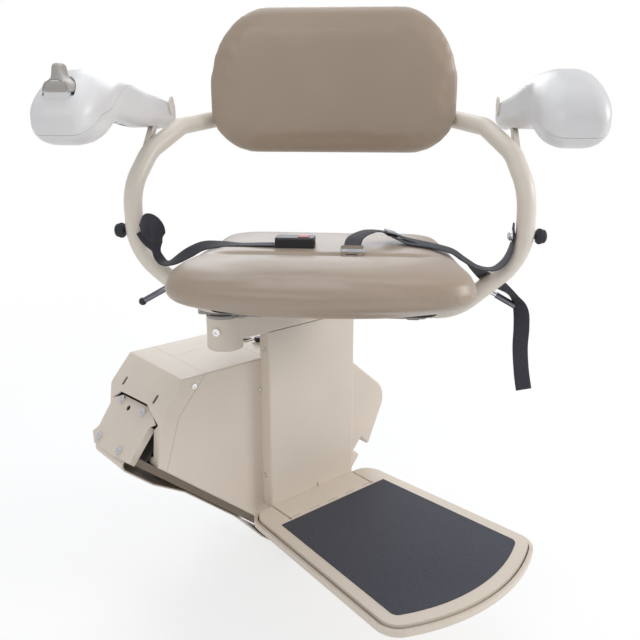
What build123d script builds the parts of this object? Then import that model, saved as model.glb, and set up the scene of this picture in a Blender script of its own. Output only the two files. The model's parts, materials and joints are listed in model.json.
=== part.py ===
from build123d import *
import os
from math import atan2, cos, degrees, radians, sin

# Stairlift chair on a straight rail: carriage, column, swivel seat, armrests and folding footrest.
# Millimetres, +Z up. The stairs fall towards +X and the wall is on the +Y side of the rail.
# The origin is on the centreline of the rail, at the middle of the carriage.

# ---- stairs and rail ----
RAIL_ANGLE = 41.0
RAIL_WIDTH = 50.0
RAIL_HEIGHT = 60.0
RAIL_GAP = 5.0

# ---- clearances ----
SEAT_GAP = 0.3
RUN_FIT = 0.05
SEAM = 0.6

# ---- carriage ----
CARRIAGE_DEPTH = 180.0
CARRIAGE_HALF = 250.0
DECK_Z = 250.0
COVER_WALL = 2.5
FRONT_BEND = 4.0
CHASSIS_PLATE = 10.0
KNEE_N = 52.0
SKIRT_N = -28.0
SKIRT_HALF = 196.0
SHOULDER_A = 205.0
SHOULDER_N = 319.0
SHOULDER_RADIUS = 46.0
NOSE_A = 238.0
NOSE_N = 203.0
LOWER_WALL_A = 208.0
SEAM_UPPER_A = -215.5
SEAM_FOOT_A = -177.0
SEAM_BEND_N = 60.0
DECK_SEAM_X = 55.0
DECK_SEAM_Y = -97.0
TRAY_N = -40.0
TRAY_SHEET = 3.0
TRAY_HALF = 204.0
LIP_HALF = 236.0
LIP_HIDDEN = 12.0

# ---- end sensors and bottom pan ----
SENSOR_SHEET = 2.0
UPPER_SENSOR_A = -238.0
LOWER_SENSOR_A = 244.0
SENSOR_GAP = 3.0
BOLT_RADIUS = 4.0
BOLT_HEAD_RADIUS = 7.0
BOLT_HEAD = 4.5
BOLT_Y = (-76.0, -150.0)
UPPER_BOLT_N = (36.0, -36.0)
LOWER_BOLT_N = (150.0, -30.0)
BRACKET_SHEET = 3.0
UPPER_BRACKET_A = -208.0
LOWER_BRACKET_A = 200.0
PAN_SHEET = 2.5
PAN_WIDTH = 100.0
PAN_Y = -110.0

# ---- rollers and drive ----
ROLLER_RADIUS = 15.0
ROLLER_WIDTH = 44.0
ROLLER_A = 130.0
AXLE_RADIUS = 6.0
PINION_TIP = 17.0
PINION_ROOT = 13.5
PINION_TEETH = 12
PINION_WIDTH = 24.0
SHAFT_RADIUS = 8.0
MOTOR_RADIUS = 38.0
MOTOR_LENGTH = 150.0

# ---- column, arm and post ----
COLUMN_X = 144.0
COLUMN_WIDTH = 200.0
COLUMN_DEPTH = 26.0
COLUMN_SHEET = 2.0
COLUMN_TOP = 304.0
ARM_HEIGHT = 40.0
ARM_WIDTH = 56.0
ARM_WALL = 4.0
POST_X = -26.0
POST_Y = -208.0
SOCKET_RADIUS = 30.0
SOCKET_BASE = 288.0
POST_RADIUS = 15.0
INDEX_RADIUS = 34.0
INDEX_PLATE = 5.0

# ---- footrest ----
MAT_TOP = -30.0
MAT_SHEET = 2.0
MAT_RECESS = 1.0
TREAD_PLATE = 8.0
TREAD_BACK_Y = -237.0
TREAD_FRONT_Y = -652.0
TREAD_BACK_HALF = 142.0
TREAD_FRONT_HALF = 169.0
TREAD_CORNER = 34.0
TREAD_BULGE = 46.0
PAN_RIM = 9.0
RIM_GAP = 3.0
TONGUE_SLOT = 4.5
FOLD_Y = -291.0
KNUCKLE_RADIUS = 2.5
HINGE_PIN = 1.2

# ---- seat ----
SEAT_SWIVEL = 45.0
SEAT_OFFSET = 173.0
TUBE_RADIUS = 14.0
TUBE_WALL = 2.0
TUBE_Z = 374.0
TUBE_V = -45.0
SEAT_HALF = 218.0
SEAT_FRONT = 268.0
SEAT_BACK = 100.0
CUSHION_TOP = 474.0
BOARD = 12.0
BASE_PLATE = 8.0
FLIP_V = 76.0
FLIP_Z = 378.0
FLIP_PIN = 4.0

# ---- backrest ----
BACK_WIDTH = 414.0
BACK_HEIGHT = 233.0
BACK_Z = 715.0
BACK_FRONT_V = 80.0
BACK_BOARD_V = 140.0
BACK_BOARD = 8.0

# ---- armrests ----
ARM_PIVOT_V = 75.0
ARM_PIVOT_Z = 677.0
EAR_U = 285.0
EAR_PLATE = 8.0
ARM_PIN = 5.0
SHELL_WALL = 3.0
PADDLE_U = 306.0
PADDLE_V = -263.0
PADDLE_Z = 700.0

# ---- belt ----
WEB_WIDTH = 25.0
WEB = 1.8
ANCHOR_V = -46.0
ANCHOR_Z = 492.0

LEFT = -1
RIGHT = 1

# ---- directions ----
SLOPE = radians(RAIL_ANGLE)
DOWN = Vector(cos(SLOPE), 0, -sin(SLOPE))
OUT = Vector(sin(SLOPE), 0, cos(SLOPE))
TURN = radians(SEAT_SWIVEL)
SEAT_X = Vector(cos(TURN), -sin(TURN), 0)
SEAT_Y = Vector(sin(TURN), cos(TURN), 0)

# ---- places worked out from the sizes ----
HOUSING_BACK = -(RAIL_WIDTH / 2 + RAIL_GAP)
HOUSING_FRONT = HOUSING_BACK - CARRIAGE_DEPTH
CHASSIS_FRONT = HOUSING_BACK - CHASSIS_PLATE
COVER_INSIDE = HOUSING_FRONT + COVER_WALL
COLUMN_FRONT = HOUSING_FRONT - COLUMN_DEPTH
COLUMN_LEFT = COLUMN_X - COLUMN_WIDTH / 2
COLUMN_RIGHT = COLUMN_X + COLUMN_WIDTH / 2
ROLLER_N = RAIL_HEIGHT / 2 + ROLLER_RADIUS
PINION_N = RAIL_HEIGHT / 2 + PINION_TIP - 1.0
ARM_TOP = COLUMN_TOP + ARM_HEIGHT
TREAD_TOP = MAT_TOP - MAT_RECESS
TREAD_BASE = TREAD_TOP - TREAD_PLATE
FOLD_Z = TREAD_TOP - KNUCKLE_RADIUS
TONGUE_FRONT_Y = FOLD_Y + KNUCKLE_RADIUS + SEAT_GAP
INDEX_TOP = ARM_TOP + 1.0 + INDEX_PLATE
PLATE_BASE = INDEX_TOP + 2.0
PLATE_TOP = PLATE_BASE + BASE_PLATE
BOARD_BASE = TUBE_Z + TUBE_RADIUS + SEAT_GAP
CUSHION_BASE = BOARD_BASE + BOARD + SEAT_GAP


def rail_point(a, y, n):
    """A point a along the rail (downhill), y across it and n square to it (upwards)."""
    return DOWN * a + OUT * n + Vector(0, y, 0)


def rail_side(y=0.0, a=0.0, n=0.0):
    """Plane seen from the room: x runs along the rail, y square to it."""
    return Plane(origin=rail_point(a, y, n), x_dir=DOWN, z_dir=(0, -1, 0))


def rail_end(a, y=0.0, n=0.0):
    """Plane across the rail that looks downhill: x is the model's Y, y is square to the rail."""
    return Plane(origin=rail_point(a, y, n), x_dir=(0, 1, 0), z_dir=DOWN)


def rail_top(n, a=0.0, y=0.0):
    """Plane parallel to the rail's top face: x runs along the rail, y is the model's Y."""
    return Plane(origin=rail_point(a, y, n), x_dir=DOWN, z_dir=OUT)


def front(y):
    """Upright plane seen from the room: x is the model's X, y its Z."""
    return Plane(origin=(0, y, 0), x_dir=(1, 0, 0), z_dir=(0, -1, 0))


def seat_point(u, v, z):
    """A point u to the seat's left or right, v behind the post's line and z up."""
    return SEAT_X * (u + SEAT_OFFSET) + SEAT_Y * v + Vector(POST_X, POST_Y, z)


def seat_flat(z):
    """Level plane in the seat's directions, centred on the seat."""
    return Plane(origin=seat_point(0, 0, z), x_dir=SEAT_X, z_dir=(0, 0, 1))


def seat_front(v):
    """Upright plane across the seat, seen from its front."""
    return Plane(origin=seat_point(0, v, 0), x_dir=SEAT_X, z_dir=-SEAT_Y)


def seat_side(u):
    """Upright plane along the seat: x runs to its back, y up."""
    return Plane(origin=seat_point(u, 0, 0), x_dir=SEAT_Y, z_dir=SEAT_X)


def deck_n(a):
    """Height square to the rail at which the level deck passes a point along the rail."""
    return (DECK_Z + a * sin(SLOPE)) / cos(SLOPE)


def rail_of(x, z):
    """Rail coordinates (a, n) of a point given by the model's x and z."""
    return x * cos(SLOPE) - z * sin(SLOPE), x * sin(SLOPE) + z * cos(SLOPE)


# =====================================================================
# Carriage covers
# =====================================================================
DECK_END_A = (SHOULDER_N * cos(SLOPE) - DECK_Z) / sin(SLOPE)


def housing_face(inset=0.0):
    """Side outline of the whole housing in rail coordinates."""
    with BuildSketch() as face:
        with BuildLine():
            FilletPolyline(
                (-CARRIAGE_HALF, deck_n(-CARRIAGE_HALF)),
                (DECK_END_A, SHOULDER_N),
                (SHOULDER_A, SHOULDER_N),
                (NOSE_A, NOSE_N),
                (LOWER_WALL_A, NOSE_N + 4),
                (LOWER_WALL_A, SEAM_BEND_N),
                (SKIRT_HALF, SKIRT_N),
                (-SKIRT_HALF, SKIRT_N),
                (-CARRIAGE_HALF, KNEE_N),
                radius=[6, 3, SHOULDER_RADIUS, 4, 0, 20, 0, 0, 20],
                close=True,
            )
        make_face()
        if inset:
            offset(amount=-inset, mode=Mode.REPLACE)
    return face.sketch


def cavity_face(inset):
    """Inside outline of the housing, run on below its open bottom."""
    depth = 60.0
    with BuildSketch() as face:
        add(housing_face(inset))
        with Locations((0, SKIRT_N - depth / 2 + 8)):
            Rectangle(2 * (SKIRT_HALF - inset - 4), depth)
    return face.sketch


def upper_region(shift):
    """Everything uphill of the slanted seam, moved along the rail by shift."""
    far = 2 * CARRIAGE_HALF
    with BuildSketch() as face:
        with BuildLine():
            Polyline(
                (SEAM_FOOT_A + shift, -far),
                (SEAM_FOOT_A + shift, SKIRT_N),
                (SEAM_UPPER_A + shift, SEAM_BEND_N),
                (SEAM_UPPER_A + shift, far),
                (-far, far),
                (-far, -far),
                close=True,
            )
        make_face()
    return face.sketch


# outline of the upper sensor plate, in (y, n) across the rail
UPPER_SENSOR_OUTLINE = (
    (-68, 44), (-160, 49), (-196, 31), (-186, 23), (-191, -44), (-132, -50),
    (-70, -51), (-46, -37), (-54, -23), (-44, 30),
)


def upper_sensor_face(grow=0.0):
    with BuildSketch() as face:
        with BuildLine():
            Polyline(*UPPER_SENSOR_OUTLINE, close=True)
        make_face()
        if grow:
            offset(amount=grow, kind=Kind.INTERSECTION, mode=Mode.REPLACE)
    return face.sketch


with BuildPart() as housing_shell:
    with BuildSketch(rail_side(HOUSING_BACK)):
        add(housing_face())
    extrude(amount=CARRIAGE_DEPTH)
    fillet(housing_shell.faces().sort_by(Axis.Y)[0].edges(), FRONT_BEND)
    with BuildSketch(rail_side(HOUSING_BACK)):
        add(cavity_face(COVER_WALL))
    extrude(amount=CARRIAGE_DEPTH - COVER_WALL, mode=Mode.SUBTRACT)

STOCK = 2.2 * CARRIAGE_HALF
SIDE_SCREW = rail_of(-92.0, 234.0)
SIDE_SCREW_2 = rail_of(COLUMN_LEFT - 5.0, 192.0)
SLOT_Y = (-66.0, -175.0)
WALL_SCREW_A = -241.0
WALL_SCREW_N = 66.0

with BuildPart() as upper_end_cover:
    add(housing_shell.part)
    with BuildSketch(rail_side(HOUSING_BACK)):
        add(upper_region(-SEAM / 2))
    extrude(amount=STOCK, both=True, mode=Mode.INTERSECT)
    # opening round the sensor plate, open at the bottom
    with BuildSketch(rail_end(-CARRIAGE_HALF - 10)):
        add(upper_sensor_face(SENSOR_GAP))
        with Locations((-118, -80)):
            Rectangle(146 + SENSOR_GAP, 90)
    extrude(amount=60, mode=Mode.SUBTRACT)
    # slots over the two screws behind the end wall
    with BuildSketch(rail_end(-CARRIAGE_HALF - 2)):
        with Locations(*[(y, WALL_SCREW_N) for y in SLOT_Y]):
            SlotOverall(17, 6.5, rotation=90)
    extrude(amount=8, mode=Mode.SUBTRACT)
    with BuildSketch(rail_side(HOUSING_FRONT + 5)):
        with Locations(SIDE_SCREW):
            Circle(2.5 + RUN_FIT)
    extrude(amount=10, mode=Mode.SUBTRACT)
upper_end_cover.part.label = "upper_end_cover"

with BuildPart() as front_housing:
    add(housing_shell.part)
    with BuildSketch(rail_side(HOUSING_BACK)):
        add(upper_region(SEAM / 2))
    extrude(amount=STOCK, both=True, mode=Mode.SUBTRACT)
    with BuildSketch(front(DECK_SEAM_Y - SEAM / 2)):
        with Locations((DECK_SEAM_X - SEAM / 2 - STOCK / 2, 0)):
            Rectangle(STOCK, 3 * STOCK)
    extrude(amount=STOCK, mode=Mode.INTERSECT)
    with BuildSketch(rail_side(HOUSING_FRONT + 5)):
        with Locations(SIDE_SCREW_2):
            Circle(2.5 + RUN_FIT)
    extrude(amount=10, mode=Mode.SUBTRACT)
front_housing.part.label = "front_housing"

UNDERLAP = 12.0
UPPER_SEAM_X = SEAM_UPPER_A * cos(SLOPE) + deck_n(SEAM_UPPER_A) * sin(SLOPE)

with BuildPart() as rear_top_panel:
    add(housing_shell.part)
    with BuildSketch(rail_side(HOUSING_BACK)):
        add(upper_region(SEAM / 2))
    extrude(amount=STOCK, both=True, mode=Mode.SUBTRACT)
    with BuildSketch(front(DECK_SEAM_Y + SEAM / 2)):
        with Locations((DECK_SEAM_X - SEAM / 2 - STOCK / 2, DECK_Z)):
            Rectangle(STOCK, 60)
    extrude(amount=-STOCK, mode=Mode.INTERSECT)
    # step under the edge of the front housing
    under = DECK_Z - COVER_WALL - SEAT_GAP
    length = DECK_SEAM_X - UPPER_SEAM_X - 24
    with BuildSketch(Plane.XY.offset(under - COVER_WALL)):
        with Locations((DECK_SEAM_X - 10 - length / 2, DECK_SEAM_Y)):
            Rectangle(length, 2 * UNDERLAP)
    extrude(amount=COVER_WALL)
    with BuildSketch(Plane.XY.offset(under - COVER_WALL)):
        with Locations((DECK_SEAM_X - 10 - length / 2, DECK_SEAM_Y + UNDERLAP - 2)):
            Rectangle(length, 4)
    extrude(amount=COVER_WALL + 1)
rear_top_panel.part.label = "rear_top_panel"

SWITCH_X = 86.0
SWITCH_Y = -110.0
BREAKER_X = 92.0
BREAKER_Y = -136.0
BREAKER_RADIUS = 6.5
STANDOFFS = ((128.0, 226.0), (190.0, 215.0), (94.0, -10.0), (190.0, -18.0))
STANDOFF_RADIUS = 10.0
LOWER_WINDOW_Y = (-180.0, -60.0)

with BuildPart() as lower_end_cover:
    add(housing_shell.part)
    with BuildSketch(front(HOUSING_BACK + 1)):
        with Locations((DECK_SEAM_X + SEAM / 2 + STOCK / 2, 0)):
            Rectangle(STOCK, 3 * STOCK)
    extrude(amount=STOCK, mode=Mode.INTERSECT)
    # window behind the lower sensor plate, open at the bottom
    with BuildSketch(rail_end(LOWER_WALL_A - 20)):
        with Locations((sum(LOWER_WINDOW_Y) / 2, 60)):
            Rectangle(LOWER_WINDOW_Y[1] - LOWER_WINDOW_Y[0], 240)
    extrude(amount=25, mode=Mode.SUBTRACT)
    # holes for the column's standoffs
    with BuildSketch(front(HOUSING_FRONT + 5)):
        with Locations(*STANDOFFS):
            Circle(STANDOFF_RADIUS + SEAT_GAP)
    extrude(amount=10, mode=Mode.SUBTRACT)
    # holes for the power switch and the breaker button
    with BuildSketch(Plane.XY.offset(DECK_Z - 6)):
        with Locations((SWITCH_X, SWITCH_Y)):
            Rectangle(22, 15)
        with Locations((BREAKER_X, BREAKER_Y)):
            Circle(BREAKER_RADIUS + 2)
    extrude(amount=12, mode=Mode.SUBTRACT)
lower_end_cover.part.label = "lower_end_cover"

# =====================================================================
# Chassis plate, tray and sensor brackets
# =====================================================================
LUG_N = ROLLER_N + 14.0
SHELF_N = 77.0
PAN_STUDS = [(a, y) for a in (-60.0, 60.0) for y in (PAN_Y - 32, PAN_Y + 32)]
STUD_RADIUS = 4.0
STUD_HEAD = 7.0

with BuildPart() as chassis_plate:
    with BuildSketch(rail_side(HOUSING_BACK)):
        add(housing_face(COVER_WALL + SEAT_GAP))
        with Locations((0, (SKIRT_N + 10 + TRAY_N) / 2)):
            Rectangle(2 * (SKIRT_HALF - COVER_WALL - 6), SKIRT_N + 10 - TRAY_N)
        # lugs that carry the lower roller axles
        with Locations((-ROLLER_A, TRAY_N - 5), (ROLLER_A, TRAY_N - 5)):
            RectangleRounded(44, 2 * (LUG_N + TRAY_N - 5), 6)
    extrude(amount=CHASSIS_PLATE)
    with BuildSketch(rail_side(HOUSING_BACK)):
        with Locations((0, PINION_N)):
            Circle(SHAFT_RADIUS + 2)
        with Locations(*[(a, n) for a in (-ROLLER_A, ROLLER_A) for n in (-ROLLER_N, ROLLER_N)]):
            Circle(AXLE_RADIUS)
    extrude(amount=CHASSIS_PLATE, mode=Mode.SUBTRACT)
    # shelf under the batteries
    with BuildSketch(rail_top(SHELF_N)):
        with Locations((-88, (CHASSIS_FRONT - 204) / 2)):
            Rectangle(160, CHASSIS_FRONT + 204)
    extrude(amount=3)
chassis_plate.part.label = "chassis_plate"

with BuildPart() as base_tray:
    with BuildSketch(rail_top(TRAY_N)):
        with Locations((0, (CHASSIS_FRONT + COVER_INSIDE) / 2)):
            Rectangle(2 * TRAY_HALF, CHASSIS_FRONT - COVER_INSIDE - 2 * SEAT_GAP)
        with Locations(*PAN_STUDS):
            Circle(STUD_RADIUS + SEAT_GAP, mode=Mode.SUBTRACT)
    extrude(amount=TRAY_SHEET)
    # front lip: its upper part stands behind the housing's front
    with BuildSketch(rail_side(COVER_INSIDE + SEAT_GAP + TRAY_SHEET)):
        with BuildLine():
            Polyline(
                (-LIP_HALF, TRAY_N),
                (LIP_HALF, TRAY_N),
                (LIP_HALF, SKIRT_N),
                (SKIRT_HALF - 8, SKIRT_N),
                (SKIRT_HALF - 8, SKIRT_N + LIP_HIDDEN),
                (8 - SKIRT_HALF, SKIRT_N + LIP_HIDDEN),
                (8 - SKIRT_HALF, SKIRT_N),
                (-LIP_HALF, SKIRT_N),
                close=True,
            )
        make_face()
    extrude(amount=TRAY_SHEET)
base_tray.part.label = "base_tray"

with BuildPart() as sensor_brackets:
    # room inside the housing, as a gauge for the brackets' rims
    with BuildSketch(rail_side(CHASSIS_FRONT)):
        add(housing_face(COVER_WALL + SEAT_GAP))
    extrude(amount=CHASSIS_FRONT - COVER_INSIDE - SEAT_GAP)
    with BuildSketch(rail_end(UPPER_BRACKET_A)):
        with Locations((-120, 80)):
            Rectangle(200, 240)
    with BuildSketch(rail_end(LOWER_BRACKET_A)):
        with Locations((-120, 100)):
            Rectangle(200, 260)
    extrude(amount=BRACKET_SHEET, mode=Mode.INTERSECT)
    # upper bracket below the slanted edge, where the sensor's lower bolts end
    with BuildSketch(rail_end(UPPER_BRACKET_A)):
        with Locations((-121, 0)):
            Rectangle(130, 88)
    extrude(amount=BRACKET_SHEET)
    with BuildSketch(rail_end(LOWER_BRACKET_A)):
        with Locations((sum(LOWER_WINDOW_Y) / 2, TRAY_N + TRAY_SHEET + SEAT_GAP + 48)):
            Rectangle(LOWER_WINDOW_Y[1] - LOWER_WINDOW_Y[0] - 6, 96)
    extrude(amount=BRACKET_SHEET)
    # front flange behind the upper cover's side screw
    with BuildSketch(rail_side(COVER_INSIDE + SEAT_GAP + BRACKET_SHEET)):
        with Locations((UPPER_BRACKET_A - 11, 96)):
            Rectangle(26, 52)
    extrude(amount=BRACKET_SHEET)
    with BuildSketch(rail_end(UPPER_BRACKET_A - 1)):
        with Locations(*[(y, n) for y in BOLT_Y for n in UPPER_BOLT_N]):
            Circle(BOLT_RADIUS)
        with Locations(*[(y, WALL_SCREW_N) for y in SLOT_Y]):
            Circle(2)
    extrude(amount=BRACKET_SHEET + 2, mode=Mode.SUBTRACT)
    with BuildSketch(rail_end(LOWER_BRACKET_A - 1)):
        with Locations(*[(y, n) for y in BOLT_Y for n in LOWER_BOLT_N]):
            Circle(BOLT_RADIUS)
    extrude(amount=BRACKET_SHEET + 2, mode=Mode.SUBTRACT)
    with BuildSketch(rail_side(HOUSING_FRONT)):
        with Locations(SIDE_SCREW):
            Circle(2.5 + RUN_FIT)
    extrude(amount=-20, mode=Mode.SUBTRACT)
sensor_brackets.part.label = "sensor_brackets"

with BuildPart() as sensor_bolts:
    # shoulder bolts: the head stops the plate, the shank guides it
    for end, plate_a, bracket_a, rows in (
        (-1, UPPER_SENSOR_A, UPPER_BRACKET_A + BRACKET_SHEET, UPPER_BOLT_N),
        (1, LOWER_SENSOR_A, LOWER_BRACKET_A, LOWER_BOLT_N),
    ):
        places = [(y, n) for y in BOLT_Y for n in rows]
        with BuildSketch(rail_end(plate_a)):
            with Locations(*places):
                Circle(BOLT_HEAD_RADIUS)
        extrude(amount=end * BOLT_HEAD)
        with BuildSketch(rail_end(plate_a)):
            with Locations(*places):
                Circle(BOLT_RADIUS)
        extrude(amount=bracket_a - plate_a)
    sockets = [(UPPER_SENSOR_A - BOLT_HEAD, 1, UPPER_BOLT_N), (LOWER_SENSOR_A + BOLT_HEAD, -1, LOWER_BOLT_N)]
    for face_a, inward, rows in sockets:
        with BuildSketch(rail_end(face_a)):
            with Locations(*[(y, n) for y in BOLT_Y for n in rows]):
                RegularPolygon(3.2, 6)
        extrude(amount=inward * 2.5, mode=Mode.SUBTRACT)
sensor_bolts.part.label = "sensor_bolts"

# =====================================================================
# Sensor plates and bottom pan
# =====================================================================
FLANGE = 12.0
GROMMET = (-103.0, 29.5)

with BuildPart() as upper_sensor_plate:
    with BuildSketch(rail_end(UPPER_SENSOR_A)):
        add(upper_sensor_face())
        with Locations(*[(y, n) for y in BOLT_Y for n in UPPER_BOLT_N]):
            Circle(BOLT_RADIUS + RUN_FIT, mode=Mode.SUBTRACT)
        with Locations(GROMMET):
            Circle(5, mode=Mode.SUBTRACT)
    extrude(amount=SENSOR_SHEET)
    # flanges folded back along both sides and over the top
    with BuildSketch(rail_end(UPPER_SENSOR_A)):
        with BuildLine():
            Polyline((-186, 23), (-191, -44), (-189, -44), (-184, 23), close=True)
        make_face()
        with BuildLine():
            Polyline((-54, -23), (-44, 30), (-46, 30), (-56, -23), close=True)
        make_face()
        with BuildLine():
            Polyline((-68, 44), (-160, 49), (-160, 47), (-68, 42), close=True)
        make_face()
    extrude(amount=FLANGE)
upper_sensor_plate.part.label = "upper_sensor_plate"

LOWER_PLATE_N = (-50.0, 178.0)
LOWER_PLATE_Y = (-196.0, -45.0)
LOWER_FLANGE = 30.0

with BuildPart() as lower_sensor_plate:
    height = LOWER_PLATE_N[1] - LOWER_PLATE_N[0]
    width = LOWER_PLATE_Y[1] - LOWER_PLATE_Y[0]
    middle = (sum(LOWER_PLATE_Y) / 2, sum(LOWER_PLATE_N) / 2)
    with BuildSketch(rail_end(LOWER_SENSOR_A)):
        with Locations(middle):
            RectangleRounded(width, height, 6)
    extrude(amount=-LOWER_FLANGE)
    with BuildSketch(rail_end(LOWER_SENSOR_A - SENSOR_SHEET)):
        with Locations((middle[0], middle[1] - 10)):
            Rectangle(width - 2 * SENSOR_SHEET, height + 16)
    extrude(amount=-LOWER_FLANGE, mode=Mode.SUBTRACT)
    with BuildSketch(rail_end(LOWER_SENSOR_A)):
        with Locations(*[(y, n) for y in BOLT_Y for n in LOWER_BOLT_N]):
            Circle(BOLT_RADIUS + RUN_FIT)
    extrude(amount=-10, mode=Mode.SUBTRACT)
lower_sensor_plate.part.label = "lower_sensor_plate"

PAN_HALF = 228.0
PAN_DEEP_N = -62.0
PAN_HIGH_N = -50.0
PAN_NOSE = 14.0

with BuildPart() as bottom_pan:
    with BuildSketch(rail_side(PAN_Y + PAN_WIDTH / 2)):
        with BuildLine():
            FilletPolyline(
                (-PAN_HALF, TRAY_N - 6),
                (-PAN_HALF, PAN_DEEP_N),
                (-150, PAN_DEEP_N),
                (-80, PAN_HIGH_N),
                (80, PAN_HIGH_N),
                (150, PAN_DEEP_N),
                (PAN_HALF, PAN_DEEP_N),
                (PAN_HALF, TRAY_N - 6),
                (PAN_HALF - PAN_SHEET, TRAY_N - 6),
                (PAN_HALF - PAN_SHEET, PAN_DEEP_N + PAN_SHEET),
                (150, PAN_DEEP_N + PAN_SHEET),
                (80, PAN_HIGH_N + PAN_SHEET),
                (-80, PAN_HIGH_N + PAN_SHEET),
                (-150, PAN_DEEP_N + PAN_SHEET),
                (PAN_SHEET - PAN_HALF, PAN_DEEP_N + PAN_SHEET),
                (PAN_SHEET - PAN_HALF, TRAY_N - 6),
                radius=[0, PAN_NOSE, 0, 0, 0, 0, PAN_NOSE, 0, 0, PAN_NOSE - PAN_SHEET,
                        0, 0, 0, 0, PAN_NOSE - PAN_SHEET, 0],
                close=True,
            )
        make_face()
    extrude(amount=PAN_WIDTH)
    # studs whose heads hang on the tray
    with BuildSketch(rail_top(PAN_HIGH_N)):
        with Locations(*PAN_STUDS):
            Circle(STUD_RADIUS)
    extrude(amount=TRAY_N + TRAY_SHEET - PAN_HIGH_N + 2)
    with BuildSketch(rail_top(TRAY_N + TRAY_SHEET)):
        with Locations(*PAN_STUDS):
            Circle(STUD_HEAD)
    extrude(amount=2.5)
bottom_pan.part.label = "bottom_pan"

# =====================================================================
# Rollers, pinion and what drives them
# =====================================================================
AXLE_PLACES = [(a, n) for a in (-ROLLER_A, ROLLER_A) for n in (-ROLLER_N, ROLLER_N)]
AXLE_SHOULDER = HOUSING_BACK + (RAIL_GAP + RAIL_WIDTH / 2 - ROLLER_WIDTH / 2)
AXLE_END = ROLLER_WIDTH / 2

with BuildPart() as roller_axles:
    with BuildSketch(rail_side(CHASSIS_FRONT)):
        with Locations(*AXLE_PLACES):
            Circle(AXLE_RADIUS)
    extrude(amount=-(AXLE_END + 3 - CHASSIS_FRONT))
    with BuildSketch(rail_side(HOUSING_BACK)):
        with Locations(*AXLE_PLACES):
            Circle(AXLE_RADIUS + 3)
    extrude(amount=-(AXLE_SHOULDER - SEAT_GAP - HOUSING_BACK))
    with BuildSketch(rail_side(AXLE_END + SEAT_GAP)):
        with Locations(*AXLE_PLACES):
            Circle(AXLE_RADIUS + 3)
    extrude(amount=-2.5)
roller_axles.part.label = "roller_axles"


def roller(a, n):
    """Grooved polyurethane rail roller on its axle."""
    with BuildPart() as wheel:
        with BuildSketch(rail_side(ROLLER_WIDTH / 2, a, n)):
            Circle(ROLLER_RADIUS)
            Circle(AXLE_RADIUS + RUN_FIT, mode=Mode.SUBTRACT)
        extrude(amount=ROLLER_WIDTH)
        chamfer(wheel.edges().filter_by(GeomType.CIRCLE).group_by(SortBy.RADIUS)[-1], 1.5)
    return wheel.part


with BuildPart() as upper_top_roller:
    add(roller(-ROLLER_A, ROLLER_N))
upper_top_roller.part.label = "upper_top_roller"

with BuildPart() as upper_bottom_roller:
    add(roller(-ROLLER_A, -ROLLER_N))
upper_bottom_roller.part.label = "upper_bottom_roller"

with BuildPart() as lower_top_roller:
    add(roller(ROLLER_A, ROLLER_N))
lower_top_roller.part.label = "lower_top_roller"

with BuildPart() as lower_bottom_roller:
    add(roller(ROLLER_A, -ROLLER_N))
lower_bottom_roller.part.label = "lower_bottom_roller"

GEARBOX_A = (-45.0, 35.0)
GEARBOX_Y = -150.0
MOTOR_Y = -98.0
MOTOR_N = 32.0

with BuildPart() as drive_pinion:
    with BuildSketch(rail_side(PINION_WIDTH / 2, 0, PINION_N)):
        Circle(PINION_ROOT)
        with PolarLocations((PINION_ROOT + PINION_TIP) / 2 - 0.5, PINION_TEETH):
            Trapezoid(4.6, PINION_TIP - PINION_ROOT + 1, 78, rotation=-90)
    extrude(amount=PINION_WIDTH)
    with BuildSketch(rail_side(PINION_WIDTH / 2 + 2, 0, PINION_N)):
        Circle(SHAFT_RADIUS)
    extrude(amount=PINION_WIDTH / 2 + 2 - CHASSIS_FRONT + 30)
drive_pinion.part.label = "drive_pinion"

with BuildPart() as gearbox:
    with BuildSketch(rail_side(CHASSIS_FRONT)):
        with Locations((sum(GEARBOX_A) / 2, MOTOR_N)):
            RectangleRounded(GEARBOX_A[1] - GEARBOX_A[0], 84, 8)
    extrude(amount=CHASSIS_FRONT - GEARBOX_Y)
    with BuildSketch(rail_side(CHASSIS_FRONT, 0, PINION_N)):
        Circle(SHAFT_RADIUS + RUN_FIT)
    extrude(amount=32, mode=Mode.SUBTRACT)
gearbox.part.label = "gearbox"

with BuildPart() as drive_motor:
    with BuildSketch(rail_end(GEARBOX_A[0], MOTOR_Y, MOTOR_N)):
        Circle(MOTOR_RADIUS)
    extrude(amount=-MOTOR_LENGTH)
    fillet(drive_motor.faces().sort_by(Axis(origin=(0, 0, 0), direction=DOWN))[0].edges(), 5)
    # terminal box
    with BuildSketch(rail_side(MOTOR_Y - MOTOR_RADIUS + 4)):
        with Locations((GEARBOX_A[0] - 60, MOTOR_N)):
            RectangleRounded(46, 34, 4)
    extrude(amount=16)
drive_motor.part.label = "drive_motor"

BATTERY = (70.0, 66.0, 92.0)
BATTERY_Y = -122.0

with BuildPart() as battery_pack:
    with BuildSketch(rail_top(SHELF_N + 3)):
        with Locations((-126, BATTERY_Y), (-52, BATTERY_Y)):
            RectangleRounded(BATTERY[0], 2 * BATTERY[1], 4)
    extrude(amount=BATTERY[2])
    with BuildSketch(rail_top(SHELF_N + 3 + BATTERY[2])):
        with Locations((-126, BATTERY_Y - 45), (-126, BATTERY_Y + 45), (-52, BATTERY_Y - 45), (-52, BATTERY_Y + 45)):
            Rectangle(8, 8)
    extrude(amount=6)
battery_pack.part.label = "battery_pack"

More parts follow.
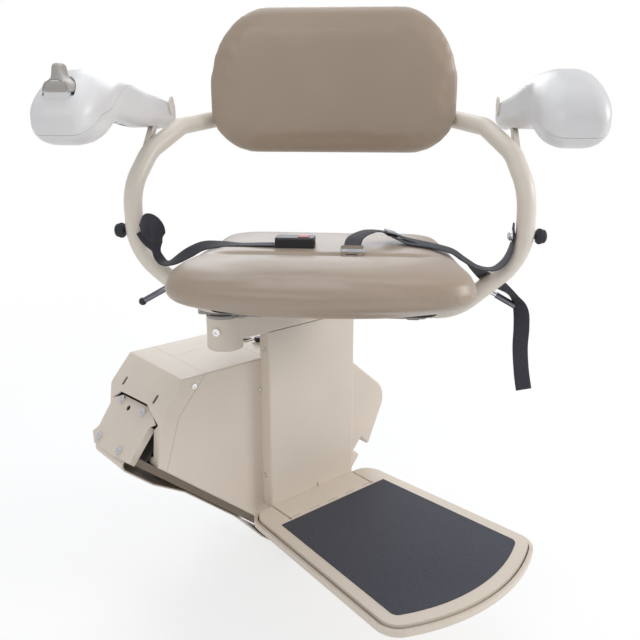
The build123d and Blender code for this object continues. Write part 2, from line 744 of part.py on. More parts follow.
with BuildPart() as control_board:
    with BuildSketch(rail_side(CHASSIS_FRONT)):
        with Locations(*[(100 + da, 175 + dn) for da in (-42, 42) for dn in (-42, 42)]):
            Circle(3)
    extrude(amount=6)
    with BuildSketch(rail_side(CHASSIS_FRONT - 6)):
        with Locations((100, 175)):
            Rectangle(100, 100)
    extrude(amount=2)
    with BuildSketch(rail_side(CHASSIS_FRONT - 8)):
        with Locations((80, 200), (80, 160)):
            Rectangle(34, 26)
        with Locations((122, 205), (122, 180), (122, 150)):
            Circle(9)
    extrude(amount=18)
control_board.part.label = "control_board"

SAFETY_A = (44.0, 96.0)

with BuildPart() as safety_gear:
    # overspeed governor and brake block, behind the plate and over the rail
    with BuildSketch(rail_side(HOUSING_BACK)):
        with Locations((sum(SAFETY_A) / 2, RAIL_HEIGHT / 2 + 15)):
            RectangleRounded(SAFETY_A[1] - SAFETY_A[0], 24, 4)
    extrude(amount=-44)
    with BuildSketch(rail_side(HOUSING_BACK + 44)):
        with Locations((sum(SAFETY_A) / 2, RAIL_HEIGHT / 2 + 15)):
            Circle(9)
    extrude(amount=-6)
safety_gear.part.label = "safety_gear"

# =====================================================================
# Switch block, rocker and breaker button
# =====================================================================
SWITCH_DEPTH = 26.0
ROCKER_WIDTH = 9.0
BREAKER_TRAVEL = 3.0

with BuildPart() as switch_block:
    with BuildSketch(Plane.XY.offset(DECK_Z - SWITCH_DEPTH)):
        with Locations((SWITCH_X, SWITCH_Y)):
            Rectangle(22 - SEAM, 15 - SEAM)
    extrude(amount=SWITCH_DEPTH)
    with BuildSketch(Plane.XY.offset(DECK_Z)):
        with Locations((SWITCH_X, SWITCH_Y)):
            RectangleRounded(25, 18, 2)
    extrude(amount=1.6)
    # well for the rocker
    with BuildSketch(Plane.XY.offset(DECK_Z - 10)):
        with Locations((SWITCH_X, SWITCH_Y)):
            Rectangle(19.4, ROCKER_WIDTH + SEAM)
    extrude(amount=20, mode=Mode.SUBTRACT)
    with BuildSketch(front(SWITCH_Y - 7)):
        with Locations((SWITCH_X, DECK_Z - 3)):
            Circle(1.5 + RUN_FIT)
    extrude(amount=-14, mode=Mode.SUBTRACT)
    # breaker body with its collar and the bore that guides the button
    with BuildSketch(Plane.XY.offset(DECK_Z - SWITCH_DEPTH)):
        with Locations((BREAKER_X, BREAKER_Y)):
            Circle(BREAKER_RADIUS + 2 - SEAT_GAP)
    extrude(amount=SWITCH_DEPTH)
    with BuildSketch(Plane.XY.offset(DECK_Z)):
        with Locations((BREAKER_X, BREAKER_Y)):
            Circle(BREAKER_RADIUS + 4)
    extrude(amount=2)
    with BuildSketch(Plane.XY.offset(DECK_Z - 12)):
        with Locations((BREAKER_X, BREAKER_Y)):
            Circle(4 + RUN_FIT)
    extrude(amount=20, mode=Mode.SUBTRACT)
    # bridge between the two bodies, under the deck
    with BuildSketch(Plane.XY.offset(DECK_Z - SWITCH_DEPTH)):
        with Locations((BREAKER_X - 2, (SWITCH_Y + BREAKER_Y) / 2)):
            Rectangle(8, SWITCH_Y - BREAKER_Y - 10)
    extrude(amount=8)
switch_block.part.label = "switch_block"

with BuildPart() as power_switch:
    # rocker: a lens-shaped cap that tips about a pin along Y
    with BuildSketch(front(SWITCH_Y + ROCKER_WIDTH / 2)):
        with BuildLine():
            Polyline(
                (SWITCH_X - 8.6, DECK_Z + 0.5),
                (SWITCH_X - 8.6, DECK_Z + 4.4),
                (SWITCH_X, DECK_Z + 2.6),
                (SWITCH_X + 8.6, DECK_Z + 1.6),
                (SWITCH_X + 8.6, DECK_Z - 2),
                (SWITCH_X, DECK_Z - 6),
                close=True,
            )
        make_face()
    extrude(amount=ROCKER_WIDTH)
    with BuildSketch(front(SWITCH_Y + ROCKER_WIDTH / 2 + 1.5)):
        with Locations((SWITCH_X, DECK_Z - 3)):
            Circle(1.5)
    extrude(amount=ROCKER_WIDTH + 3)
power_switch.part.label = "power_switch"

with BuildPart() as breaker_button:
    with BuildSketch(Plane.XY.offset(DECK_Z + 2 + BREAKER_TRAVEL)):
        with Locations((BREAKER_X, BREAKER_Y)):
            Circle(BREAKER_RADIUS)
    extrude(amount=6)
    fillet(breaker_button.faces().sort_by(Axis.Z)[-1].edges(), 2)
    with BuildSketch(Plane.XY.offset(DECK_Z - 8)):
        with Locations((BREAKER_X, BREAKER_Y)):
            Circle(4)
    extrude(amount=10 + BREAKER_TRAVEL)
breaker_button.part.label = "breaker_button"

# =====================================================================
# Column, arm and post
# =====================================================================
COLUMN_BASE = TREAD_TOP + SEAT_GAP
COLUMN_SCREWS = ((-224.0, 270.0), (-220.0, 26.0))
NOTCH = (148.0, 16.0, 9.0)

with BuildPart() as column_cover:
    with BuildSketch(Plane.XY.offset(COLUMN_BASE)):
        with Locations((COLUMN_X, COLUMN_FRONT + COLUMN_DEPTH / 2)):
            Rectangle(COLUMN_WIDTH, COLUMN_DEPTH)
    extrude(amount=COLUMN_TOP - COLUMN_BASE)
    fillet(column_cover.edges().filter_by(Axis.Z).sort_by(Axis.Y)[:2], 3)
    with BuildSketch(Plane.XY.offset(COLUMN_BASE)):
        with Locations((COLUMN_X, COLUMN_FRONT + COLUMN_SHEET + COLUMN_DEPTH / 2)):
            Rectangle(COLUMN_WIDTH - 2 * COLUMN_SHEET, COLUMN_DEPTH)
    extrude(amount=COLUMN_TOP - COLUMN_BASE, mode=Mode.SUBTRACT)
    # cable notch at the foot of the front
    with BuildSketch(front(COLUMN_FRONT + 5)):
        with Locations((NOTCH[0], COLUMN_BASE)):
            Rectangle(NOTCH[1], 2 * NOTCH[2])
    extrude(amount=10, mode=Mode.SUBTRACT)
    with BuildSketch(Plane.YZ.offset(COLUMN_LEFT - 5)):
        with Locations(*COLUMN_SCREWS):
            Circle(2.5 + RUN_FIT)
    extrude(amount=COLUMN_WIDTH + 10, mode=Mode.SUBTRACT)
column_cover.part.label = "column_cover"

COLUMN_INNER = COLUMN_WIDTH - 2 * (COLUMN_SHEET + SEAT_GAP)
COLUMN_TUBE_Y = (COLUMN_FRONT + COLUMN_SHEET + SEAT_GAP, HOUSING_FRONT - SEAT_GAP)

with BuildPart() as support_column:
    with BuildSketch(Plane.XY.offset(TREAD_TOP)):
        with Locations((COLUMN_X, sum(COLUMN_TUBE_Y) / 2)):
            Rectangle(COLUMN_INNER, COLUMN_TUBE_Y[1] - COLUMN_TUBE_Y[0])
            Rectangle(COLUMN_INNER - 8, COLUMN_TUBE_Y[1] - COLUMN_TUBE_Y[0] - 8, mode=Mode.SUBTRACT)
    extrude(amount=COLUMN_TOP - TREAD_TOP)
    # standoffs back to the chassis plate
    with BuildSketch(front(CHASSIS_FRONT)):
        with Locations(*STANDOFFS):
            Circle(STANDOFF_RADIUS)
    extrude(amount=CHASSIS_FRONT - COLUMN_TUBE_Y[1] + 2)
    with BuildSketch(Plane.YZ.offset(COLUMN_LEFT)):
        with Locations(*COLUMN_SCREWS):
            Circle(2.5 + RUN_FIT)
    extrude(amount=12, mode=Mode.SUBTRACT)
    with BuildSketch(Plane.YZ.offset(COLUMN_RIGHT)):
        with Locations(*COLUMN_SCREWS):
            Circle(2.5 + RUN_FIT)
    extrude(amount=-12, mode=Mode.SUBTRACT)
support_column.part.label = "support_column"

SOCKET_BOLT_ANGLE = radians(210.8)
SOCKET_BOLT_Z = 322.0
SOCKET_BOLT_HEAD = 6.5
SOCKET_BOLT_RADIUS = 3.0
SOCKET_OUT = Vector(cos(SOCKET_BOLT_ANGLE), sin(SOCKET_BOLT_ANGLE), 0)
SOCKET_BOLT_SEAT = Plane(
    origin=Vector(POST_X, POST_Y, SOCKET_BOLT_Z) + SOCKET_OUT * (SOCKET_RADIUS - 0.4), z_dir=SOCKET_OUT
)
SOCKET_TOP = ARM_TOP + 1.0
COLLAR_RADIUS = 20.0
COLLAR = 7.0

with BuildPart() as seat_arm:
    arm_y = COLUMN_FRONT + ARM_WIDTH / 2
    with BuildSketch(Plane.YZ.offset(POST_X)):
        with Locations((arm_y, COLUMN_TOP + ARM_HEIGHT / 2)):
            Rectangle(ARM_WIDTH, ARM_HEIGHT)
    extrude(amount=COLUMN_RIGHT - POST_X)
    fillet(seat_arm.edges().filter_by(Axis.X), 4)
    with BuildSketch(Plane.YZ.offset(POST_X)):
        with Locations((arm_y, COLUMN_TOP + ARM_HEIGHT / 2)):
            Rectangle(ARM_WIDTH - 2 * ARM_WALL, ARM_HEIGHT - 2 * ARM_WALL)
    extrude(amount=COLUMN_RIGHT - POST_X - ARM_WALL, mode=Mode.SUBTRACT)
    with BuildSketch(Plane.XY.offset(SOCKET_BASE)):
        with Locations((POST_X, POST_Y)):
            Circle(SOCKET_RADIUS)
    extrude(amount=SOCKET_TOP - SOCKET_BASE)
    with BuildSketch(Plane.XY.offset(SOCKET_BASE)):
        with Locations((POST_X, POST_Y)):
            Circle(POST_RADIUS + RUN_FIT)
    extrude(amount=SOCKET_TOP - SOCKET_BASE, mode=Mode.SUBTRACT)
    with BuildSketch(Plane.XY.offset(SOCKET_BASE)):
        with Locations((POST_X, POST_Y)):
            Circle(COLLAR_RADIUS)
    extrude(amount=COLLAR + 1, mode=Mode.SUBTRACT)
    fillet(seat_arm.faces().sort_by(Axis.Z)[0].edges().sort_by(SortBy.RADIUS)[-1], 1.5)
    # seat and hole of the bolt in the socket's side
    with BuildSketch(SOCKET_BOLT_SEAT):
        Circle(SOCKET_BOLT_HEAD + SEAT_GAP)
    extrude(amount=2, mode=Mode.SUBTRACT)
    with BuildSketch(SOCKET_BOLT_SEAT):
        Circle(SOCKET_BOLT_RADIUS + RUN_FIT)
    extrude(amount=-10, mode=Mode.SUBTRACT)
seat_arm.part.label = "seat_arm"

STOP_RADIUS = 30.5
LATCH_TRAVEL = 6.0
STOP_PIN = 3.0
SWIVEL_RANGE = 45.0
LATCH_WIDTH = 12.0
# directions from the post at rest: the latch points along the seat, the stop pin the other way
LATCH_ANGLE = -SEAT_SWIVEL
STOP_ANGLE = LATCH_ANGLE + 180.0

with BuildPart() as index_plate:
    with BuildSketch(Plane.XY.offset(SOCKET_TOP)):
        with Locations((POST_X, POST_Y)):
            Circle(INDEX_RADIUS)
            Circle(POST_RADIUS + RUN_FIT, mode=Mode.SUBTRACT)
        # rim cut away over the swivel range: its ends are the stops
        reach = SWIVEL_RANGE + degrees(atan2(STOP_PIN, STOP_RADIUS)) + 1
        rim = []
        for step in range(-4, 5):
            angle = radians(STOP_ANGLE + reach * step / 4)
            rim.append((POST_X + 45 * cos(angle), POST_Y + 45 * sin(angle)))
        with BuildLine():
            Polyline((POST_X, POST_Y), *rim, close=True)
        make_face(mode=Mode.SUBTRACT)
        with Locations((POST_X, POST_Y)):
            Circle(STOP_RADIUS - STOP_PIN - 1)
            Circle(POST_RADIUS + RUN_FIT, mode=Mode.SUBTRACT)
            # notches the latch drops into at both ends and in the middle
            with PolarLocations(INDEX_RADIUS, 3, LATCH_ANGLE - SWIVEL_RANGE, 3 * SWIVEL_RANGE):
                Rectangle(2 * LATCH_TRAVEL, LATCH_WIDTH + 2 * SEAT_GAP, mode=Mode.SUBTRACT)
    extrude(amount=INDEX_PLATE)
index_plate.part.label = "index_plate"

with BuildPart() as swivel_post:
    with BuildSketch(Plane.XY.offset(SOCKET_BASE + 1)):
        with Locations((POST_X, POST_Y)):
            Circle(POST_RADIUS)
    extrude(amount=PLATE_TOP + 26 - SOCKET_BASE - 1)
    with BuildSketch(Plane.XY.offset(SOCKET_BASE + 1)):
        with Locations((POST_X, POST_Y)):
            Circle(COLLAR_RADIUS - SEAT_GAP)
    extrude(amount=COLLAR - SEAT_GAP)
    with BuildSketch(Plane.XY.offset(SOCKET_BASE)):
        with Locations((POST_X, POST_Y)):
            Circle(9)
    extrude(amount=5, mode=Mode.SUBTRACT)
swivel_post.part.label = "swivel_post"

# =====================================================================
# Footrest
# =====================================================================


def tread_face(grow=0.0):
    """Outline of the footrest plate: a taper with rounded corners and a bowed front."""
    with BuildSketch() as face:
        with BuildLine():
            corner_y = TREAD_FRONT_Y + TREAD_BULGE
            left = (COLUMN_X - TREAD_FRONT_HALF, corner_y)
            right = (COLUMN_X + TREAD_FRONT_HALF, corner_y)
            Polyline(
                left,
                (COLUMN_X - TREAD_BACK_HALF, TREAD_BACK_Y),
                (COLUMN_X + TREAD_BACK_HALF, TREAD_BACK_Y),
                right,
            )
            ThreePointArc(left, (COLUMN_X, TREAD_FRONT_Y), right)
        make_face()
        fillet(face.vertices().group_by(Axis.Y)[-1], TREAD_CORNER - 6)
        fillet(face.vertices().group_by(Axis.Y)[0], TREAD_CORNER)
        if grow:
            offset(amount=grow, mode=Mode.REPLACE)
    return face.sketch


def notch_face(side_gap, front_gap):
    """The space in the tread that the fixed tongue fills."""
    with BuildSketch() as face:
        depth = 200.0
        with Locations((COLUMN_X, TONGUE_FRONT_Y - front_gap + depth / 2)):
            Rectangle(COLUMN_WIDTH - 4 + 2 * side_gap, depth)
    return face.sketch


TONGUE_HALF = COLUMN_WIDTH / 2 - 2
KNUCKLES = 9
KNUCKLE_GAP = 0.4
KNUCKLE = (2 * TONGUE_HALF - 1 - (KNUCKLES - 1) * KNUCKLE_GAP) / KNUCKLES
SLOT_RELIEF = 3.5


def knuckle_starts(first):
    """Left ends of every second knuckle along the fold line."""
    left = COLUMN_X - TONGUE_HALF + 0.5
    return [left + i * (KNUCKLE + KNUCKLE_GAP) for i in range(first, KNUCKLES, 2)]


def knuckle_face(toward):
    """End view of a knuckle with the strip that joins it to its plate."""
    with BuildSketch() as face:
        with Locations((FOLD_Y, FOLD_Z)):
            Circle(KNUCKLE_RADIUS)
        with Locations((FOLD_Y + toward * 2, TREAD_TOP - KNUCKLE_RADIUS)):
            Rectangle(4, 2 * KNUCKLE_RADIUS)
        with Locations((FOLD_Y, FOLD_Z)):
            Circle(HINGE_PIN + RUN_FIT, mode=Mode.SUBTRACT)
    return face.sketch


with BuildPart() as footrest_bracket:
    back = HOUSING_FRONT - SEAT_GAP
    with BuildSketch(Plane.XY.offset(TREAD_TOP - 6)):
        with Locations((COLUMN_X, (TONGUE_FRONT_Y + back) / 2)):
            Rectangle(2 * TONGUE_HALF, back - TONGUE_FRONT_Y)
    extrude(amount=6)
    # ribs under the back of the plate
    for x in (COLUMN_X - 60, COLUMN_X + 60):
        with BuildSketch(Plane.XY.offset(TREAD_TOP - 30)):
            with Locations((x, back - 22)):
                Rectangle(8, 44)
        extrude(amount=25)
    for x in knuckle_starts(1):
        with BuildSketch(Plane.YZ.offset(x)):
            add(knuckle_face(1))
        extrude(amount=KNUCKLE)
footrest_bracket.part.label = "footrest_bracket"

SAFETY_TRAVEL = 3.5
SAFETY_SHEET = 2.0
SAFETY_TOP = TREAD_BASE - SAFETY_TRAVEL - 1.5
SAFETY_RIM = 8.0
SAFETY_STUDS = ((70.0, -560.0), (218.0, -560.0), (70.0, -340.0), (218.0, -340.0))
HINGE_CLEAR = 20.0
MAT_BACK_Y = -298.0
MAT_INSET = 21.0

with BuildPart() as footrest_plate:
    with BuildSketch(Plane.XY.offset(TREAD_BASE)):
        add(tread_face())
        add(notch_face(TONGUE_SLOT, 2 * (KNUCKLE_RADIUS + SEAT_GAP)), mode=Mode.SUBTRACT)
        with Locations((COLUMN_X - TONGUE_HALF - 3, FOLD_Y), (COLUMN_X + TONGUE_HALF + 3, FOLD_Y)):
            Circle(SLOT_RELIEF, mode=Mode.SUBTRACT)
    extrude(amount=TREAD_PLATE)
    # shallow recess for the mat
    with BuildSketch(Plane.XY.offset(TREAD_TOP - MAT_RECESS)):
        add(tread_face(SEAT_GAP - MAT_INSET))
        with Locations((COLUMN_X, MAT_BACK_Y + SEAT_GAP + 100)):
            Rectangle(600, 200, mode=Mode.SUBTRACT)
    extrude(amount=MAT_RECESS, mode=Mode.SUBTRACT)
    for x in knuckle_starts(0):
        with BuildSketch(Plane.YZ.offset(x)):
            add(knuckle_face(-1))
        extrude(amount=KNUCKLE)
    # shoulder studs that carry the safety pan
    with BuildSketch(Plane.XY.offset(SAFETY_TOP - SAFETY_SHEET)):
        with Locations(*SAFETY_STUDS):
            Circle(STUD_RADIUS)
    extrude(amount=TREAD_BASE - SAFETY_TOP + SAFETY_SHEET)
    with BuildSketch(Plane.XY.offset(SAFETY_TOP - SAFETY_SHEET)):
        with Locations(*SAFETY_STUDS):
            Circle(STUD_HEAD)
    extrude(amount=-2)
footrest_plate.part.label = "footrest_plate"

with BuildPart() as footrest_mat:
    with BuildSketch(Plane.XY.offset(TREAD_TOP - MAT_RECESS)):
        add(tread_face(-MAT_INSET))
        with Locations((COLUMN_X, MAT_BACK_Y + 100)):
            Rectangle(600, 200, mode=Mode.SUBTRACT)
    extrude(amount=MAT_SHEET)
footrest_mat.part.label = "footrest_mat"

with BuildPart() as footrest_pin:
    with BuildSketch(Plane.YZ.offset(COLUMN_X - TONGUE_HALF + 0.5)):
        with Locations((FOLD_Y, FOLD_Z)):
            Circle(HINGE_PIN)
    extrude(amount=2 * TONGUE_HALF - 1)
footrest_pin.part.label = "footrest_pin"

with BuildPart() as footrest_pan:
    with BuildSketch(Plane.XY.offset(SAFETY_TOP - SAFETY_SHEET)):
        add(tread_face(PAN_RIM))
        add(notch_face(TONGUE_SLOT, HINGE_CLEAR), mode=Mode.SUBTRACT)
        with Locations(*SAFETY_STUDS):
            Circle(STUD_RADIUS + SEAT_GAP, mode=Mode.SUBTRACT)
    extrude(amount=SAFETY_SHEET)
    with BuildSketch(Plane.XY.offset(SAFETY_TOP)):
        add(tread_face(PAN_RIM))
        add(tread_face(RIM_GAP), mode=Mode.SUBTRACT)
        add(notch_face(TONGUE_SLOT, HINGE_CLEAR), mode=Mode.SUBTRACT)
    extrude(amount=SAFETY_RIM)
footrest_pan.part.label = "footrest_pan"

# =====================================================================
# Seat base and tube hoop
# =====================================================================


def tube(points, radii):
    """Bent tube along straight runs and tangent arcs."""
    with BuildPart() as bent:
        with BuildLine() as route:
            FilletPolyline(*points, radius=radii)
        with BuildSketch(Plane(origin=route.wire() @ 0, z_dir=route.wire() % 0)):
            Circle(TUBE_RADIUS)
            Circle(TUBE_RADIUS - TUBE_WALL, mode=Mode.SUBTRACT)
        sweep(path=route.wire())
    return bent.part


TUBE_INNER_U = 62.0
HOOP_U = 299.0
JUNCTION = (244.0, 60.0, 646.0)
BACK_BEND = (165.0, 190.0, 661.0)
# the side tubes and the back tube meet on the straight run between these two bends
SPLICE = tuple(a + (b - a) * 0.28 for a, b in zip(JUNCTION, BACK_BEND))
SIDE_ROUTE = (
    (TUBE_INNER_U, TUBE_V, TUBE_Z),
    (200.0, TUBE_V, TUBE_Z),
    (HOOP_U + 2, -43.0, 459.0),
    (HOOP_U - 3, -56.0, 560.0),
    (279.0, -8.0, 611.0),
    JUNCTION,
    SPLICE,
)
SIDE_RADII = (80.0, 90.0, 60.0, 80.0, 50.0)
BOLT_HOLE = 4.0


def side_points(side):
    return [seat_point(side * u, v, z) for u, v, z in SIDE_ROUTE]


def side_tube(side):
    with BuildPart() as bent:
        add(tube(side_points(side), SIDE_RADII))
        with BuildSketch(seat_side(side * (HOOP_U - 30))):
            with Locations((ANCHOR_V, ANCHOR_Z)):
                Circle(BOLT_HOLE + RUN_FIT)
        extrude(amount=side * 60, mode=Mode.SUBTRACT)
    return bent.part


with BuildPart() as left_side_tube:
    add(side_tube(LEFT))
left_side_tube.part.label = "left_side_tube"

with BuildPart() as right_side_tube:
    add(side_tube(RIGHT))
right_side_tube.part.label = "right_side_tube"

BACK_ROUTE = [
    (-SPLICE[0], SPLICE[1], SPLICE[2]),
    (-BACK_BEND[0], BACK_BEND[1], BACK_BEND[2]),
    BACK_BEND,
    SPLICE,
]

with BuildPart() as back_tube:
    add(tube([seat_point(*p) for p in BACK_ROUTE], (80.0, 80.0)))
back_tube.part.label = "back_tube"

PLATE_FRONT = -28.0
PLATE_REAR = 88.0
PLATE_LEFT = -212.0
PLATE_RIGHT = 160.0
HUB_RADIUS = 28.0
LEVER_U = 215.0
LEVER_V = 10.0
LEVER_Z = 379.0
LEVER_EYE = 7.0
LEVER_PIN = 3.0
LATCH_TIP = INDEX_RADIUS + SEAT_GAP - SEAT_OFFSET
LATCH_BASE = ARM_TOP + 2.6
LATCH = 3.4
SADDLES_U = (82.0, 128.0)
EARS_U = (-110.0, 110.0)

with BuildPart() as seat_base:
    with BuildSketch(seat_flat(PLATE_BASE)):
        with Locations(((PLATE_LEFT + PLATE_RIGHT) / 2, (PLATE_FRONT + PLATE_REAR) / 2)):
            RectangleRounded(PLATE_RIGHT - PLATE_LEFT, PLATE_REAR - PLATE_FRONT, 8)
    extrude(amount=BASE_PLATE)
    # hub that clamps the post
    with BuildSketch(seat_flat(INDEX_TOP + RUN_FIT)):
        with Locations((-SEAT_OFFSET, 0)):
            Circle(HUB_RADIUS - 2)
    extrude(amount=PLATE_TOP + 22 - INDEX_TOP)
    # saddles under the hoop's lower run
    for side in (LEFT, RIGHT):
        for u in SADDLES_U:
            with BuildSketch(seat_flat(PLATE_TOP - 1)):
                with Locations((side * u, PLATE_FRONT + 6)):
                    Rectangle(20, 12)
            extrude(amount=16)
            with BuildSketch(seat_flat(TUBE_Z - TUBE_RADIUS + 3)):
                with Locations((side * u, TUBE_V + 8)):
                    Rectangle(20, 30)
            extrude(amount=12)
    with BuildSketch(seat_side(-SEAT_OFFSET)):
        with Locations((TUBE_V, TUBE_Z)):
            Circle(TUBE_RADIUS + RUN_FIT)
    extrude(amount=SEAT_OFFSET * 2, mode=Mode.SUBTRACT)
    # rail that carries the two levers
    with BuildSketch(seat_flat(PLATE_TOP - 1)):
        with Locations((0, LEVER_V)):
            Rectangle(2 * (LEVER_U + 6), 16)
    extrude(amount=9)
    for side in (LEFT, RIGHT):
        for v in (LEVER_V - 6.5, LEVER_V + 6.5):
            with BuildSketch(seat_front(v + 1.5)):
                with BuildLine():
                    Polyline(
                        (side * (LEVER_U - 14), PLATE_TOP + 7),
                        (side * (LEVER_U - LEVER_EYE), LEVER_Z + LEVER_EYE),
                        (side * (LEVER_U + 5), LEVER_Z + LEVER_EYE),
                        (side * (LEVER_U + 6), PLATE_TOP + 7),
                        close=True,
                    )
                make_face()
                with Locations((side * LEVER_U, LEVER_Z)):
                    Circle(LEVER_PIN + RUN_FIT, mode=Mode.SUBTRACT)
            extrude(amount=3)
    # ears of the flip hinge
    for u in EARS_U:
        with BuildSketch(seat_side(u - 4)):
            with BuildLine():
                Polyline(
                    (FLIP_V - 12, PLATE_TOP - 1), (FLIP_V - 6, FLIP_Z + 6), (FLIP_V + 6, FLIP_Z + 6),
                    (FLIP_V + 12, PLATE_TOP - 1), close=True,
                )
            make_face()
        extrude(amount=8)
    with BuildSketch(seat_side(EARS_U[0] - 30)):
        with Locations((FLIP_V, FLIP_Z)):
            Circle(FLIP_PIN + RUN_FIT)
    extrude(amount=EARS_U[1] - EARS_U[0] + 60, mode=Mode.SUBTRACT)
    # bore for the post, guide bore for the latch and the stop pin
    with BuildSketch(seat_flat(PLATE_BASE - 10)):
        with Locations((-SEAT_OFFSET, 0)):
            Circle(POST_RADIUS)
    extrude(amount=50, mode=Mode.SUBTRACT)
    with BuildSketch(seat_flat(INDEX_TOP - INDEX_PLATE + 0.5)):
        with Locations((-SEAT_OFFSET - STOP_RADIUS, 0)):
            Circle(STOP_PIN)
    extrude(amount=PLATE_BASE - INDEX_TOP + INDEX_PLATE + 1)
    # keeper that guides the swivel latch
    with BuildSketch(seat_flat(ARM_TOP + 0.6)):
        with Locations((-118, 0)):
            Rectangle(20, LATCH_WIDTH + 10)
    extrude(amount=PLATE_BASE - ARM_TOP)
    with BuildSketch(seat_flat(LATCH_BASE - SEAT_GAP)):
        with Locations((-118, 0)):
            Rectangle(24, LATCH_WIDTH + 2 * SEAT_GAP)
    extrude(amount=LATCH + 2 * SEAT_GAP, mode=Mode.SUBTRACT)
    # tab under the right end of the plate
    with BuildSketch(seat_flat(PLATE_BASE - 7)):
        with Locations((139, 0)):
            RectangleRounded(20, 20, 3)
    extrude(amount=8)
seat_base.part.label = "seat_base"

# =====================================================================
# Seat board and cushion
# =====================================================================
LEAF = 8.0
LEAF_GAP = 0.4

with BuildPart() as seat_board:
    with BuildSketch(seat_flat(BOARD_BASE)):
        with BuildLine():
            FilletPolyline((-172, -140), (172, -140), (150, 83), (-150, 83), radius=26, close=True)
        make_face()
    extrude(amount=BOARD)
    # hinge leaves on both sides of each ear, with their pins
    for u in EARS_U:
        for start in (u - LEAF / 2 - LEAF_GAP - LEAF, u + LEAF / 2 + LEAF_GAP):
            with BuildSketch(seat_side(start)):
                with Locations((FLIP_V, FLIP_Z)):
                    Circle(7)
                with Locations((FLIP_V, (FLIP_Z + BOARD_BASE + 1) / 2)):
                    Rectangle(14, BOARD_BASE + 1 - FLIP_Z)
            extrude(amount=LEAF)
        with BuildSketch(seat_side(u - 1.5 * LEAF - LEAF_GAP)):
            with Locations((FLIP_V, FLIP_Z)):
                Circle(FLIP_PIN)
        extrude(amount=3 * LEAF + 2 * LEAF_GAP)
seat_board.part.label = "seat_board"

# height, draw-in at the sides, at the front and at the back
SEAT_SECTIONS = (
    (CUSHION_BASE, 26, 80, 16),
    (406, 16, 58, 10),
    (414, 8, 36, 5),
    (424, 2.5, 15, 1.5),
    (434, 0.5, 3, 0.5),
    (444, 0, 0, 0),
    (453, 3, 3.5, 2),
    (460, 8.5, 9.5, 7),
    (466, 17.5, 20, 15),
    (470, 30, 34, 28),
    (473, 54, 60, 50),
    (CUSHION_TOP, 92, 104, 84),
)


def seat_face(side_in, front_in, back_in):
    """Seat outline: straight tapering sides, round corners and a bowed front."""
    with BuildSketch() as face:
        with BuildLine():
            side = SEAT_HALF + 5 - side_in
            rear = SEAT_HALF - 32 - side_in
            corner = 40 - SEAT_FRONT + front_in
            Polyline((-side, corner), (-rear, SEAT_BACK - back_in), (rear, SEAT_BACK - back_in), (side, corner))
            ThreePointArc((-side, corner), (0, front_in - SEAT_FRONT), (side, corner))
        make_face()
        fillet(face.vertices().group_by(Axis.Y)[0], 62)
        fillet(face.vertices().group_by(Axis.Y)[-1], 46)
    return face.sketch


with BuildPart() as seat_cushion:
    for z, side_in, front_in, back_in in SEAT_SECTIONS:
        with BuildSketch(seat_flat(z)):
            add(seat_face(side_in, front_in, back_in))
    loft(ruled=True)
seat_cushion.part.label = "seat_cushion"

# =====================================================================
# Backrest
# =====================================================================
TOP_CORNER = (101.0, 125.0)
FOOT_CORNER = (77.0, 66.0)
# depth, draw-in at the sides and over the height
BACK_SECTIONS = (
    (BACK_BOARD_V - SEAT_GAP, 35, 14),
    (130, 27, 5),
    (119, 20, 1),
    (109, 13, 0),
    (100, 6, 1),
    (93, 2.5, 5),
    (88, 6, 11),
    (84, 17, 21),
    (81.5, 34, 35),
    (BACK_FRONT_V, 56, 54),
)


def back_face(wide_in, high_in):
    """Backrest outline: level top and bottom, elliptical corners, rounder at the top."""
    half = BACK_WIDTH / 2 - wide_in
    top = BACK_Z + BACK_HEIGHT / 2 - high_in
    foot = BACK_Z - BACK_HEIGHT / 2 + high_in
    top_x, top_z = TOP_CORNER[0] - wide_in, TOP_CORNER[1] - high_in
    foot_x, foot_z = FOOT_CORNER[0] - wide_in, FOOT_CORNER[1] - high_in
    with BuildSketch() as face:
        with BuildLine():
            for side, start, turn in ((LEFT, 180, -90), (RIGHT, 0, 90)):
                upper = (side * (half - top_x), top - top_z)
                lower = (side * (half - foot_x), foot + foot_z)
                EllipticalCenterArc(upper, top_x, top_z, start, arc_size=turn)
                EllipticalCenterArc(lower, foot_x, foot_z, start, arc_size=-turn)
                Line((side * half, upper[1]), (side * half, lower[1]))
            Line((top_x - half, top), (half - top_x, top))
            Line((foot_x - half, foot), (half - foot_x, foot))
        make_face()
    return face.sketch


with BuildPart() as backrest_cushion:
    for v, wide_in, high_in in BACK_SECTIONS:
        with BuildSketch(seat_front(v)):
            add(back_face(wide_in, high_in))
    loft(ruled=True)
backrest_cushion.part.label = "backrest_cushion"

with BuildPart() as backrest_board:
    with BuildSketch(seat_front(BACK_BOARD_V)):
        add(back_face(40, 24))
    extrude(amount=-BACK_BOARD)
backrest_board.part.label = "backrest_board"

BACK_TUBE_V = BACK_BEND[1]
BACK_TUBE_Z = BACK_BEND[2]

with BuildPart() as backrest_bracket:
    plate_v = BACK_BOARD_V + BACK_BOARD
    for u in (-72.0, 72.0):
        with BuildSketch(seat_side(u - 17)):
            with BuildLine():
                Polyline(
                    (plate_v, BACK_TUBE_Z - 34),
                    (plate_v + 6, BACK_TUBE_Z - 34),
                    (BACK_TUBE_V - 6, BACK_TUBE_Z - 16),
                    (BACK_TUBE_V - 6, BACK_TUBE_Z + 16),
                    (plate_v + 6, BACK_TUBE_Z + 90),
                    (plate_v, BACK_TUBE_Z + 90),
                    close=True,
                )
            make_face()
            with Locations((BACK_TUBE_V, BACK_TUBE_Z)):
                Circle(TUBE_RADIUS + 4)
                Circle(TUBE_RADIUS + RUN_FIT, mode=Mode.SUBTRACT)
        extrude(amount=34)
    with BuildSketch(seat_front(plate_v)):
        with Locations((0, BACK_TUBE_Z + 70)):
            RectangleRounded(200, 40, 6)
    extrude(amount=-4)
